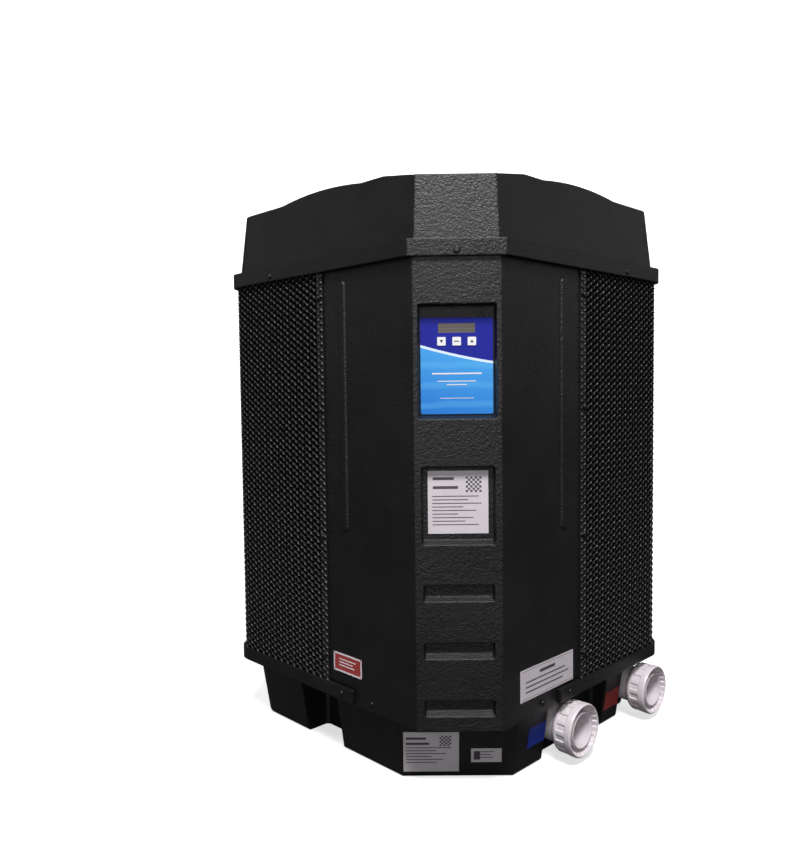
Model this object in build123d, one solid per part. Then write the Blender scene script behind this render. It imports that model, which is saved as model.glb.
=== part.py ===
from build123d import *
import math
import os

# Upright pool heat pump: a square cabinet standing on its front corner, which a narrow
# facet cuts off. Z is up, the floor is z = 0, the front facet faces -Y, and the two front
# faces lie at 45 degrees. "out" is measured from the centre square to a front face, "along"
# runs on the face from its middle towards the side corner, and side is +1 right, -1 left.

# ---- driving dimensions, mm ----
BODY_HALF = 355.0        # half the width across the cowl skirt, flat to flat
FACET_HALF = 87.0        # half the width of the front facet on the skirt
CORNER_R = 55.0
CASE_TOP = 1004.0        # top of the cowl skirt
LIP_TOP = 158.0          # top of the base lip, where guards and coil stand

# base
PLINTH_INSET = 51.0      # from the skirt's face to the plinth's at the floor
PLINTH_FACET = 106.5
PLINTH_CORNER_R = 34.0
PLINTH_H = 131.0
PLINTH_FLARE = 20.0      # how much the half-width grows from floor to lip
FLOOR_ROUND = 9.0
LIP_INSET = 3.0
APRON_EDGE = -66.0       # where the lip stops and the panel's apron starts, along the face
APRON_GAP = 2.0
SUMP_INSET = 72.0        # from the plinth's face at the floor
SUMP_FACET = 60.0
SUMP_FLOOR = 12.0
TRAY_INSET = 65.0        # from the skirt's face
POCKET_CUT = 55.0        # how far each pocket goes in from the plinth's face
PORT_POCKET_CUT = 24.0
PORT_CORNER_CUT = 32.0
POCKET_R = 10.0
HAND_POCKET = (18.0, 138.0)
REAR_POCKET = (-60.0, 60.0)
PORT_POCKET = (-64.0, 157.0)
DRAIN_R = 9.0
DRAIN_AT = 120.0

# front panel
PANEL_INSET = 11.0
PANEL_FACET = 78.0
PANEL_T = 4.0
PANEL_BOTTOM = 127.0
PANEL_DROP = 19.0        # from the top of the skirt to the panel's top edge
PANEL_EDGE = 12.0        # the panel's side edges, along the face
BEAD_ALONG = -44.0
BEAD_W = 20.0
BEAD_RISE = 3.5
BEAD_LOW = 468.0
BEAD_DROP = 32.0         # from the panel's top edge to the bead's top
CONTROL_W, CONTROL_H, CONTROL_DEEP = 138.0, 202.0, 22.0
CONTROL_DROP = 213.0     # from the top of the skirt to the middle of the control recess
PLATE_W, PLATE_H, PLATE_T, PLATE_DROP = 129.0, 171.0, 2.0, 7.2
RECESS_R = 4.0
RECESS_LEAN = 2.0        # how far each side of a recess leans in
LABEL_POCKET_W, LABEL_POCKET_H, LABEL_POCKET_DEEP, LABEL_Z = 131.0, 140.0, 14.0, 536.0
GROOVE_W, GROOVE_H, GROOVE_DEEP = 127.0, 30.0, 12.0
GROOVE_Z = (379.0, 274.5, 169.5)
SILL = 7.0               # how far each recess's bottom slopes up to its back

# display and keys
LCD_W, LCD_H, LCD_RISE = 66.0, 17.0, 60.0
LCD_SUNK = 0.3
LCD_MODULE = (84.0, 9.0, 34.0)
KEY_W, KEY_UP, KEY_PITCH = 15.0, 36.5, 27.0
KEY_R = 1.5
KEY_RISE = 1.2
KEY_DEPTH = 4.4
KEY_GAP = 0.2
SWITCH_ROOM = 3.0        # round the keys, in the panel behind them
KEY_TRAVEL = 0.8
FIT = 0.05               # radial running clearance on every turning fit

# guards and posts
GUARD_INSET = 5.0
GUARD_T = 3.0
GUARD_DROP = 14.0        # from the top of the skirt to the guards' top edge
EDGE_GAP = 1.0
POST_HALF_W = 30.0
POST_T = 4.0
REAR_POST_HALF_W = 40.0

# cowl
SKIRT_H = 30.0
COWL_T = 4.0
LEDGE_W = 12.0
WALL_LEAN = 12.0
WALL_FACET = 75.0
WALL_TOP_FACET = 70.0
RIM_FRONT_RISE = 113.0   # heights above the top of the skirt
RIM_SIDE_RISE = 126.0
RIM_ARCH = 9.0
RIM_ARCH_FROM, RIM_ARCH_TO = -90.0, 160.0
RIM_RAMP = 81.0
DECK_RISE = 32.0
THROAT_R = 285.0

# fan
BLADE_GAP = 6.0
BLADE_W = 130.0
BLADE_T = 3.0
BLADE_PITCH = 18.0
BLADE_COUNT = 4
BLADE_DROP = 20.0        # from the deck down to the blades' middle
HUB_R = 45.0
HUB_H = 34.0
SHAFT_R = 6.35
SHAFT_L = 45.0
MOUNT_DROP = 52.0        # from the deck down to the motor's top
MOUNT_T = 6.0
ARM_W = 30.0
ARM_PAST = 12.0          # how far the arms reach past the throat
MOTOR_R = 75.0
MOTOR_H = 120.0
RING_WIRE = 4.0
SPOKE_WIRE = 5.0
RING_PITCH = 25.0
SPOKE_COUNT = 12
BOSS_R = 40.0            # the plate in the middle of the wire guard
RING_FIRST = 60.0
RING_LAP = 15.0          # how far the guard laps the deck

# refrigerant side
COIL_INSET = 12.0
COIL_T = 40.0
COIL_DROP = 32.0         # from the top of the skirt to the coil's top
COIL_EDGE = 36.0
TUBE_R = 4.8
TUBE_PITCH = 50.0
COMP_AT = (-75.0, -110.0)      # out, along on the right face
COMP_R = 85.0
COMP_H = 360.0
COMP_FOOT = 22.0
FOOT_PCR = 105.0
FOOT_T = 4.0
FOOT_W = 190.0
FOOT_R = 14.0
FOOT_HOLE = 5.0
FOOT_BOLT = 4.0
GROMMET_R = 12.0
BOLT_HEAD = (8.0, 6.0)   # across the corners' radius, height
TERMINAL_BOX = (60.0, 50.0, 80.0)
TERMINAL_UP = 200.0
ACC_AT = (-162.0, 62.0)
ACC_R = 48.0
ACC_H = 260.0
LINE_R = 9.5
THIN_LINE_R = 6.35
SUCTION_LIFT = 60.0      # suction line's loop above the accumulator, then its fall to the pump
SUCTION_FALL = 90.0
SUCTION_STUB = 45.0
SUCTION_BEND = 22.0
HOT_LIFT = 70.0
HOT_FALL = 150.0
HOT_BEND = 24.0
LIQUID_Z = 150.0
LIQUID_BEND = 18.0
FEED_BEND = 40.0
FEED_DROP = 120.0        # below the coil's top
DRIER_R, DRIER_H, DRIER_LOW, DRIER_OFF = 26.0, 140.0, 220.0, 40.0
VALVE_STEM = (14.0, 40.0)
VALVE_HEAD = (20.0, 18.0)

# water side
UNION_Z = 66.0
INLET_ALONG = -15.0
OUTLET_INSET = 32.0      # from the plinth's face round the corner
PIPE_R = 30.15
PIPE_WALL = 3.9
SOCKET_GAP = 0.15
STOP_LAP = 4.15          # how far the stops in tail and connector reach over the pipe's end
TAIL_WALL = 8.35         # walls outside the pipe's radius
UNION_PROUD = 19.5       # the fixed tail's end beyond the plinth, where its neck starts
TAIL_STOP = 14.0         # how far inside the tail its pipe stops
NECK_WALL = 5.85
NECK_L = 6.5
NUT_WALL = 22.85
NUT_L = 52.0
NUT_GAP = 0.5
NUT_FLATS = 12
CONN_WALL = 4.25
FLANGE_WALL = 5.35
FLANGE_L = 10.0
SOCKET_L = 32.0
STOP_L = 2.0
MOUTH_WALL = 15.85
MOUTH_L = 14.0
RING_SEAT = 2.0
ORING_IN, ORING_W = 4.0, 5.0
CHAMFER = 4.0            # at the connector's mouth
FLAT_PROUD, FLAT_W, FLAT_DEEP = 2.5, 13.0, 8.0
FLAT_SPAN, FLAT_MID = 0.62, 0.42    # shares of the nut's length
EXCH_AT = (40.0, 122.0)
EXCH_R = 100.0
EXCH_H = 400.0
EXCH_WALL = 6.0
CAP_H = 24.0
PIPE_BEND = 4.0          # added to the pipe's radius
TURNS, TURN_PITCH, TURN_LOW, TURN_TUBE, TURN_GAP = 8, 26.0, 150.0, 9.5, 20.0
BORE_GAP = 0.85
CHASE_GAP = 1.0
CHASE_WALL = 22.0

# electrical
BOX_GAP = 16.5           # from the control recess's pan to the control box
BULKHEAD_HALF_W = 105.0
SHEET_T = 2.0
BOX_HALF_W = 110.0
BOX_DEEP = 66.0
BOX_H = 300.0
BOX_RISE = 109.0         # the box's top above the middle of the control recess
CAPACITOR_R, CAPACITOR_H, CAPACITOR_X = 22.0, 110.0, -70.0
CONTACTOR = (62.0, 50.0, 76.0)
TERMINALS = (80.0, 24.0, 30.0)
TERMINAL_PITCH = 18.0
TERMINAL_SLOT = (12.0, 10.0, 22.0)
CORE = (60.0, 36.0, 50.0)
WINDING = (36.0, 46.0, 66.0)
BOARD = (100.0, 8.0, 110.0)
BOARD_RIM = 6.0
RELAY = (18.0, 26.0, 24.0)
RELAY_X = (22.0, 46.0, 70.0)
TERMINAL_X, CORE_X, BOARD_X, CONTACTOR_X = 55.0, 60.0, 50.0, -68.0
LOW_ROW, MIDDLE_ROW, HIGH_ROW = 20.0, 80.0, 160.0

# stickers and fasteners
STICKER_T = 0.4
SCREW_R = 6.0
SCREW_RISE = 3.0
SCREW_IN = 9.0           # guard screws in from the guard's edge
GUARD_SCREW_UP = (52.0, 292.0, 547.0, 767.0)
COWL_SCREW_LOW = 5.0     # below the middle of the skirt
APRON_SCREW = (-112.0, 143.0)
LIP_SCREW = (-32.0, 145.0)

# labels: along or x, height, width and height of each
POCKET_LABEL = (0.0, 541.0, 108.0, 113.0)
BASE_LABELS = ((-51.0, 54.0, 106.0, 84.0), (54.0, 46.0, 58.0, 29.0))
NOTICE = (-98.0, 193.0, 173.0, 60.0)
WARNING = (-44.0, 203.0, 84.0, 38.0)
INLET_TAG = (-92.0, 66.0, 56.0, 42.0)
OUTLET_TAG = (192.0, 54.0, 58.0, 42.0)

ROOT2 = math.sqrt(2.0)
TAN_EIGHTH = math.tan(math.radians(22.5))
DRAFT = math.degrees(math.atan2(PLINTH_FLARE, PLINTH_H))
PLINTH_HALF = BODY_HALF - PLINTH_INSET
SUMP_HALF = PLINTH_HALF - SUMP_INSET
TRAY_HALF = BODY_HALF - TRAY_INSET
POCKET_DEEP = PLINTH_HALF - POCKET_CUT
PORT_POCKET_DEEP = PLINTH_HALF - PORT_POCKET_CUT
PORT_CORNER_DEEP = PLINTH_HALF - PORT_CORNER_CUT
PANEL_TOP = CASE_TOP - PANEL_DROP
BEAD_HIGH = PANEL_TOP - BEAD_DROP
CONTROL_Z = CASE_TOP - CONTROL_DROP
PLATE_Z = CONTROL_Z - PLATE_DROP
LCD_Z = CONTROL_Z + LCD_RISE
KEY_Z = CONTROL_Z + KEY_UP
GUARD_TOP = CASE_TOP - GUARD_DROP
RIM_FRONT = CASE_TOP + RIM_FRONT_RISE
RIM_SIDE = CASE_TOP + RIM_SIDE_RISE
DECK_Z = CASE_TOP + DECK_RISE
BLADE_Z = DECK_Z - BLADE_DROP
MOUNT_Z = DECK_Z - MOUNT_DROP
COIL_TOP = CASE_TOP - COIL_DROP
PANEL_HALF = BODY_HALF - PANEL_INSET
PANEL_FRONT = PANEL_HALF * ROOT2 - PANEL_FACET
PLATE_BACK = PANEL_FRONT - CONTROL_DEEP
PLATE_FRONT = PLATE_BACK + PLATE_T
BOX_FRONT = BOX_GAP + PANEL_T - PLATE_BACK
BULKHEAD_Y = BOX_FRONT + BOX_DEEP
BOX_BACK = BULKHEAD_Y - SHEET_T
BOX_HIGH = CONTROL_Z + BOX_RISE
BOX_LOW = BOX_HIGH - BOX_H
COMP_LOW = SUMP_FLOOR + COMP_FOOT
DRIER_AT = (EXCH_AT[0] - EXCH_R - DRIER_OFF, EXCH_AT[1])
VALVE_LOW = DRIER_LOW + DRIER_H
OUTLET_ALONG = PLINTH_HALF - OUTLET_INSET
UNION_OUT = PLINTH_HALF + UNION_PROUD
STOP_R = PIPE_R - STOP_LAP
TAIL_R = PIPE_R + TAIL_WALL
NECK_R = PIPE_R + NECK_WALL
CONN_R = PIPE_R + CONN_WALL
FLANGE_R = PIPE_R + FLANGE_WALL
MOUTH_R = PIPE_R + MOUTH_WALL
NUT_R = PIPE_R + NUT_WALL
GUARD_HALF = BODY_HALF - GUARD_INSET
GUARD_FACET = FACET_HALF - GUARD_INSET * TAN_EIGHTH
SKIRT_LOW = CASE_TOP - SKIRT_H
LEDGE_UNDER = CASE_TOP - COWL_T
NUT_OUT = UNION_OUT + NUT_GAP
CONN_OUT = UNION_OUT + NECK_L
LOW = (Align.CENTER, Align.CENTER, Align.MIN)


# ---- shared shapes ----
def plan(half, facet, corner_r, inset=0.0):
    """Outline of the cabinet at one level: square on its corner, front cut by the facet."""
    half = half - inset
    facet = facet - inset * TAN_EIGHTH
    reach = half * ROOT2
    corners = [(reach, 0), (0, reach), (-reach, 0), (-facet, facet - reach), (facet, facet - reach)]
    face = make_face(Polyline(*corners, close=True))
    rounded = [v for v in face.vertices() if v.Y > -half / 2]
    return fillet(rounded, corner_r - inset)


def slab(face, low, high):
    return Pos(0, 0, low) * extrude(face, amount=high - low)


def shell(half, facet, corner_r, wall, low, high):
    outer = slab(plan(half, facet, corner_r), low, high)
    return outer - slab(plan(half, facet, corner_r, wall), low, high)


def front_quarter(edge, low, high):
    """Everything in front of the lines square to the two front faces, at edge along them."""
    size = 4 * BODY_HALF
    block = Box(size, size, high - low, align=LOW)
    return Pos(0, (edge - size / 2) * ROOT2, low) * Rot(0, 0, 45) * block


def on_face(side, along, out, z, lean=0.0):
    """Plane on a front face: x to a viewer's right, y up, z out of the cabinet."""
    origin = Vector(side * (out + along) / ROOT2, (along - out) / ROOT2, z)
    tip = math.radians(lean)
    normal = Vector(side * math.cos(tip), -math.cos(tip), -math.sin(tip) * ROOT2)
    return Plane(origin, x_dir=(1, side, 0), z_dir=normal)


def on_front(x, out, z, lean=0.0):
    tip = math.radians(lean)
    return Plane((x, -out, z), x_dir=(1, 0, 0), z_dir=(0, -math.cos(tip), -math.sin(tip)))


def at(spot, z):
    """Location inside the cabinet, given out and along on the right face."""
    out, along = spot
    return Pos((out + along) / ROOT2, (along - out) / ROOT2, z)


def post(spot, radius, low, high):
    return at(spot, low) * Cylinder(radius, high - low, align=LOW)


def recess(width, height, deep, z_mid):
    """Tapered pocket cut into the front facet, with a sloping sill at its bottom."""
    front = on_front(0, PANEL_FRONT, z_mid) * RectangleRounded(width, height, RECESS_R)
    back_h = height - SILL - RECESS_LEAN
    back_mid = z_mid + (SILL - RECESS_LEAN) / 2
    back_face = RectangleRounded(width - 2 * RECESS_LEAN, back_h, RECESS_R)
    back = on_front(0, PANEL_FRONT - deep, back_mid) * back_face
    return loft([front, back])


def pan(width, height, deep, z_mid):
    """The closed pan behind a recess."""
    behind = (Align.CENTER, Align.CENTER, Align.MAX)
    block = Box(width + 2 * PANEL_T, height + 2 * PANEL_T, deep, align=behind)
    return on_front(0, PANEL_FRONT - PANEL_T, z_mid).location * block


def tube_path(points, bend, radius, hollow=0.0):
    """Tube along straight runs joined by arcs of one bend radius."""
    path = FilletPolyline(*points, radius=bend)
    start = Plane(origin=path @ 0, z_dir=path % 0)
    ring = start * Circle(radius)
    if hollow > 0:
        ring = ring - start * Circle(hollow)
    return sweep(ring, path=path)


def spot_point(spot, z):
    out, along = spot
    return ((out + along) / ROOT2, (along - out) / ROOT2, z)


parts = {}


# ---- base pan ----
def base_pan():
    floor_face = plan(PLINTH_HALF, PLINTH_FACET, PLINTH_CORNER_R)
    top_face = plan(PLINTH_HALF, PLINTH_FACET, PLINTH_CORNER_R, -PLINTH_FLARE)
    pan_body = loft([floor_face, Pos(0, 0, PLINTH_H) * top_face])
    floor_edges = pan_body.edges().group_by(Axis.Z)[0]
    pan_body = fillet(floor_edges, FLOOR_ROUND)
    lip = slab(plan(BODY_HALF, FACET_HALF, CORNER_R, LIP_INSET), PLINTH_H, LIP_TOP)
    lip_front = front_quarter(APRON_EDGE + APRON_GAP, PLINTH_H, LIP_TOP)
    backing = PANEL_T + GROOVE_DEEP + APRON_GAP
    behind_apron = slab(plan(PANEL_HALF, PANEL_FACET, CORNER_R, backing), PLINTH_H, LIP_TOP)
    pan_body = pan_body + (lip - (lip_front - behind_apron))
    pan_body -= slab(plan(TRAY_HALF, SUMP_FACET, CORNER_R), PLINTH_H, LIP_TOP)
    pan_body -= slab(plan(SUMP_HALF, SUMP_FACET, CORNER_R), SUMP_FLOOR, PLINTH_H)
    for pocket in base_pockets():
        pan_body -= pocket
    pan_body -= pipe_chase()
    for along in (INLET_ALONG, OUTLET_ALONG):
        bore = Cylinder(PIPE_R + BORE_GAP, BODY_HALF, align=LOW)
        pan_body -= on_face(1, along, SUMP_HALF - 2 * PIPE_R, UNION_Z).location * bore
    for x in (-DRAIN_AT, DRAIN_AT):
        pan_body -= Pos(x, DRAIN_AT, 0) * Cylinder(DRAIN_R, SUMP_FLOOR, align=LOW)
    return pan_body


def base_pocket(side, start, stop, deep, turn=0):
    """Hand or pipe pocket under the lip, from the floor up, in one face of the plinth."""
    outer = PLINTH_HALF + 2 * PLINTH_FLARE + CORNER_R
    block = Box(stop - start, PLINTH_H, outer - deep, align=LOW)
    back = block.edges().filter_by(Axis.Y).group_by(Axis.Z)[0]
    block = fillet(back, POCKET_R)
    middle = (start + stop) / 2
    placed = on_face(side, middle, deep, PLINTH_H / 2).location * block
    return Rot(0, 0, turn) * placed


def base_pockets():
    corner = OUTLET_ALONG - TAIL_R - POCKET_R - CHASE_GAP
    return [
        base_pocket(-1, *HAND_POCKET, POCKET_DEEP),
        base_pocket(1, *PORT_POCKET, PORT_POCKET_DEEP),
        base_pocket(1, corner, corner + 3 * CORNER_R, PORT_CORNER_DEEP),
        base_pocket(-1, *REAR_POCKET, POCKET_DEEP, -90),
        base_pocket(1, *REAR_POCKET, POCKET_DEEP, 90),
    ]


def pipe_chase():
    """Room beside the sump for the outlet pipe."""
    high_out = PORT_CORNER_DEEP - CHASE_WALL
    low_z = UNION_Z - PIPE_R - 6 * CHASE_GAP
    low_along, high_along = SUMP_HALF - PIPE_R, OUTLET_ALONG + PIPE_R + CHASE_GAP
    block = Box(high_along - low_along, PLINTH_H - low_z, high_out, align=LOW)
    mid_z = (PLINTH_H + low_z) / 2
    return on_face(1, (low_along + high_along) / 2, 0, mid_z).location * block


parts["base_pan"] = base_pan()


# ---- front panel ----
def front_panel():
    body = shell(PANEL_HALF, PANEL_FACET, CORNER_R, PANEL_T, LIP_TOP + APRON_GAP, PANEL_TOP)
    body = body & front_quarter(PANEL_EDGE, LIP_TOP, PANEL_TOP)
    apron = shell(PANEL_HALF, PANEL_FACET, CORNER_R, PANEL_T, PANEL_BOTTOM, LIP_TOP + APRON_GAP)
    body = body + (apron & front_quarter(APRON_EDGE, PANEL_BOTTOM, LIP_TOP + APRON_GAP))
    pockets = [(CONTROL_W, CONTROL_H, CONTROL_DEEP, CONTROL_Z)]
    pockets.append((LABEL_POCKET_W, LABEL_POCKET_H, LABEL_POCKET_DEEP, LABEL_Z))
    pockets += [(GROOVE_W, GROOVE_H, GROOVE_DEEP, z) for z in GROOVE_Z]
    for sizes in pockets:
        body = body + pan(*sizes)
    for sizes in pockets:
        body = body - recess(*sizes)
    for side in (-1, 1):
        body = body + bead(side)
    room = KEY_W + 2 * SWITCH_ROOM
    switch_window = Box(2 * KEY_PITCH + room, room, 2 * PANEL_T)
    return body - on_front(0, PANEL_FRONT - CONTROL_DEEP, KEY_Z).location * switch_window


def bead(side):
    """Upright stiffening bead, a round-ended rib that stands proud of a wing."""
    height = BEAD_HIGH - BEAD_LOW
    middle = (BEAD_HIGH + BEAD_LOW) / 2
    foot = on_face(side, BEAD_ALONG, PANEL_HALF - 1, middle)
    rib = extrude(foot * SlotOverall(height, BEAD_W, rotation=90), amount=BEAD_RISE + 1)
    crest = rib.faces().sort_by(lambda f: f.center().dot(foot.z_dir))[-1]
    return chamfer(crest.edges(), BEAD_RISE - 0.5)


parts["front_panel"] = front_panel()


# ---- guards and posts ----
def guards():
    ring = shell(GUARD_HALF, GUARD_FACET, CORNER_R, GUARD_T, LIP_TOP, GUARD_TOP)
    ring = ring - front_quarter(PANEL_EDGE + EDGE_GAP, LIP_TOP, GUARD_TOP)
    keep = Box(2 * BODY_HALF, 4 * BODY_HALF, 2 * CASE_TOP, align=(Align.MIN, Align.CENTER, Align.CENTER))
    right = ring & (Pos(EDGE_GAP / 2, 0, 0) * keep)
    left = ring & (Pos(-EDGE_GAP / 2, 0, 0) * Rot(0, 0, 180) * keep)
    return left, right


def panel_post(side):
    """Folded post behind the joint between the panel and a guard."""
    height = LEDGE_UNDER - LIP_TOP
    middle = (LEDGE_UNDER + LIP_TOP) / 2
    inner = PANEL_HALF - PANEL_T
    web_face = on_face(side, 0, inner - POST_T, middle)
    web = extrude(web_face * Rectangle(2 * POST_HALF_W, height), amount=POST_T)
    pad_w = POST_HALF_W - PANEL_EDGE - EDGE_GAP
    pad_deep = GUARD_HALF - GUARD_T - inner
    pad_face = on_face(side, POST_HALF_W - pad_w / 2, inner, middle)
    return web + extrude(pad_face * Rectangle(pad_w, height), amount=pad_deep)


def rear_post():
    ring = shell(GUARD_HALF - GUARD_T, GUARD_FACET, CORNER_R - GUARD_T, POST_T, LIP_TOP, LEDGE_UNDER)
    keep = Box(2 * REAR_POST_HALF_W, 2 * BODY_HALF, CASE_TOP, align=(Align.CENTER, Align.MIN, Align.MIN))
    return ring & keep


parts["left_guard"], parts["right_guard"] = guards()
parts["left_panel_post"] = panel_post(-1)
parts["right_panel_post"] = panel_post(1)
parts["rear_post"] = rear_post()


# ---- top cowl ----
def rim_cut(front):
    """Everything above the rim on one face; a front face also dips to the facet."""
    far = 2 * BODY_HALF
    top = RIM_SIDE + 2 * SKIRT_H
    start, stop = RIM_ARCH_FROM, RIM_ARCH_TO
    crown = ((start + stop) / 2, RIM_SIDE + RIM_ARCH)
    edge = Polyline((stop, RIM_SIDE), (far, RIM_SIDE), (far, top))
    if front:
        corner = FACET_HALF * ROOT2 - BODY_HALF
        middle = FACET_HALF / ROOT2 - BODY_HALF
        low = [(middle, RIM_FRONT), (corner, RIM_FRONT), (corner + RIM_RAMP, RIM_SIDE), (start, RIM_SIDE)]
    else:
        low = [(-far, RIM_SIDE), (start, RIM_SIDE)]
    edge += Polyline((far, top), (low[0][0], top), *low)
    edge += ThreePointArc((start, RIM_SIDE), crown, (stop, RIM_SIDE))
    return make_face(edge)


def top_cowl():
    wall_half = BODY_HALF - LEDGE_W
    top = RIM_SIDE + RIM_ARCH
    height = top - LEDGE_UNDER
    low_face = plan(wall_half, WALL_FACET, CORNER_R)
    high_face = plan(wall_half - WALL_LEAN, WALL_TOP_FACET, CORNER_R)
    outer = loft([Pos(0, 0, LEDGE_UNDER) * low_face, Pos(0, 0, top) * high_face])
    low_hole = plan(wall_half, WALL_FACET, CORNER_R, COWL_T)
    high_hole = plan(wall_half - WALL_LEAN, WALL_TOP_FACET, CORNER_R, COWL_T)
    hole = loft([Pos(0, 0, LEDGE_UNDER) * low_hole, Pos(0, 0, top) * high_hole])
    deck = Pos(0, 0, DECK_Z) * Box(4 * BODY_HALF, 4 * BODY_HALF, COWL_T, align=LOW)
    throat = Pos(0, 0, LEDGE_UNDER) * Cylinder(THROAT_R + COWL_T, DECK_Z - LEDGE_UNDER, align=LOW)
    eye = Pos(0, 0, LEDGE_UNDER) * Cylinder(THROAT_R, height, align=LOW)
    cowl = outer - (hole - ((deck + throat) - eye))
    cowl += shell(BODY_HALF, FACET_HALF, CORNER_R, COWL_T, SKIRT_LOW, CASE_TOP)
    ledge = slab(plan(BODY_HALF, FACET_HALF, CORNER_R), LEDGE_UNDER, CASE_TOP)
    cowl += ledge - slab(plan(wall_half, WALL_FACET, CORNER_R, COWL_T), LEDGE_UNDER, CASE_TOP)
    for side in (-1, 1):
        face = on_face(side, 0, BODY_HALF / 2, 0)
        sketch = rim_cut(True) if side > 0 else mirror(rim_cut(True), Plane.YZ)
        cowl -= extrude(face * sketch, amount=BODY_HALF)
        back = Rot(0, 0, 180) * (face * rim_cut(False))
        cowl -= extrude(back, amount=BODY_HALF)
    dip = Box(2 * WALL_FACET, BODY_HALF, 4 * SKIRT_H, align=(Align.CENTER, Align.MAX, Align.MIN))
    return cowl - Pos(0, -BODY_HALF / 2, RIM_FRONT) * dip


parts["top_cowl"] = top_cowl()


# ---- fan ----
def fan_guard():
    """Flat wire guard on the deck: round rings lying on spokes."""
    spoke_z = DECK_Z + COWL_T + SPOKE_WIRE / 2
    ring_z = spoke_z + (SPOKE_WIRE + RING_WIRE) / 2
    reach = THROAT_R + RING_LAP
    wires = []
    for i in range(SPOKE_COUNT):
        spoke = Rot(0, 90, 0) * Cylinder(SPOKE_WIRE / 2, reach - BOSS_R, align=LOW)
        wires.append(Rot(0, 0, i * 360 / SPOKE_COUNT) * (Pos(BOSS_R, 0, spoke_z) * spoke))
    for i in range(int((reach - RING_FIRST) / RING_PITCH) + 1):
        wires.append(Pos(0, 0, ring_z) * Torus(RING_FIRST + i * RING_PITCH, RING_WIRE / 2))
    wires.append(Pos(0, 0, spoke_z - SPOKE_WIRE / 2) * Cylinder(BOSS_R, SPOKE_WIRE, align=LOW))
    return Compound(children=wires)


def motor_mount():
    plate = Pos(0, 0, MOUNT_Z) * Cylinder(MOTOR_R, MOUNT_T, align=LOW)
    reach = THROAT_R + COWL_T + ARM_PAST
    for turn in (45, 135):
        plate += Rot(0, 0, turn) * (Pos(0, 0, MOUNT_Z) * Box(2 * reach, ARM_W, MOUNT_T, align=LOW))
    for turn in (45, 135, 225, 315):
        tab = Box(MOUNT_T, ARM_W, DECK_Z - MOUNT_Z, align=(Align.MAX, Align.CENTER, Align.MIN))
        plate += Rot(0, 0, turn) * (Pos(reach, 0, MOUNT_Z) * tab)
    return plate - Pos(0, 0, MOUNT_Z) * Cylinder(3 * SHAFT_R, MOUNT_T, align=LOW)


def fan_motor():
    body = Pos(0, 0, MOUNT_Z - MOTOR_H) * Cylinder(MOTOR_R, MOTOR_H, align=LOW)
    body = fillet(body.edges().group_by(Axis.Z)[0], 14)
    hole = Cylinder(SHAFT_R + FIT, MOTOR_H / 2, align=(Align.CENTER, Align.CENTER, Align.MAX))
    return body - Pos(0, 0, MOUNT_Z) * hole


def fan_hub():
    hub = Pos(0, 0, BLADE_Z - HUB_H / 2) * Cylinder(HUB_R, HUB_H, align=LOW)
    hub = fillet(hub.edges().group_by(Axis.Z)[-1], 6)
    shaft_low = MOUNT_Z - SHAFT_L
    shaft = Pos(0, 0, shaft_low) * Cylinder(SHAFT_R, BLADE_Z - shaft_low, align=LOW)
    return hub + shaft


def fan_blades():
    reach = THROAT_R - BLADE_GAP
    ring = Cylinder(reach, BLADE_W) - Cylinder(HUB_R, BLADE_W)
    blades = []
    for i in range(BLADE_COUNT):
        flat = Rot(BLADE_PITCH, 0, 0) * (Pos(reach / 2, 0, 0) * Box(reach + 20, BLADE_W, BLADE_T))
        blade = flat & ring
        half = blade.solids().sort_by(Axis.X)[-1]
        blades.append(Rot(0, 0, i * 360 / BLADE_COUNT) * (Pos(0, 0, BLADE_Z) * half))
    return Compound(children=blades)


parts["fan_guard"] = fan_guard()
parts["motor_mount"] = motor_mount()
parts["fan_motor"] = fan_motor()
parts["fan_hub"] = fan_hub()
parts["fan_blades"] = fan_blades()


# ---- evaporator coil ----
def evaporator_coil():
    half = BODY_HALF - COIL_INSET
    facet = FACET_HALF - COIL_INSET * TAN_EIGHTH
    ring = shell(half, facet, CORNER_R, COIL_T, LIP_TOP, COIL_TOP)
    return ring - front_quarter(COIL_EDGE, LIP_TOP, COIL_TOP)


def return_bends():
    """Copper U bends that stand out of both ends of the coil."""
    out = BODY_HALF - COIL_INSET - COIL_T / 2
    bends = []
    steps = int((COIL_TOP - LIP_TOP - 2 * TUBE_PITCH) / TUBE_PITCH)
    for side in (-1, 1):
        for i in range(steps):
            z = LIP_TOP + TUBE_PITCH * (i + 1)
            seat = on_face(side, COIL_EDGE, out - 9, z)
            bends.append(return_bend(seat, side))
    return Compound(children=bends)


def return_bend(seat, side):
    """Half ring in an upright plane, its two ends on the coil's end face."""
    reach = TUBE_PITCH / 4
    start = seat.from_local_coords((0, reach, 0))
    middle = seat.from_local_coords((-side * reach, 0, 0))
    stop = seat.from_local_coords((0, -reach, 0))
    arc = ThreePointArc(start, middle, stop)
    return sweep(Plane(origin=start, z_dir=arc % 0) * Circle(TUBE_R), path=arc)


parts["evaporator_coil"] = evaporator_coil()
parts["return_bends"] = return_bends()


# ---- compressor and refrigerant lines ----
def compressor():
    body = post(COMP_AT, COMP_R, COMP_LOW, COMP_LOW + COMP_H)
    body = fillet(body.edges().group_by(Axis.Z)[-1], 45)
    body = fillet(body.edges().group_by(Axis.Z)[0], 12)
    foot = Cylinder(FOOT_PCR + FOOT_R, FOOT_T, align=LOW) & Box(FOOT_W, FOOT_W, 2 * FOOT_T, align=LOW)
    body += at(COMP_AT, COMP_LOW) * Rot(0, 0, 45) * foot
    for spot in foot_spots():
        body -= Pos(*spot, COMP_LOW) * Cylinder(FOOT_HOLE, FOOT_T, align=LOW)
    return body


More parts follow.
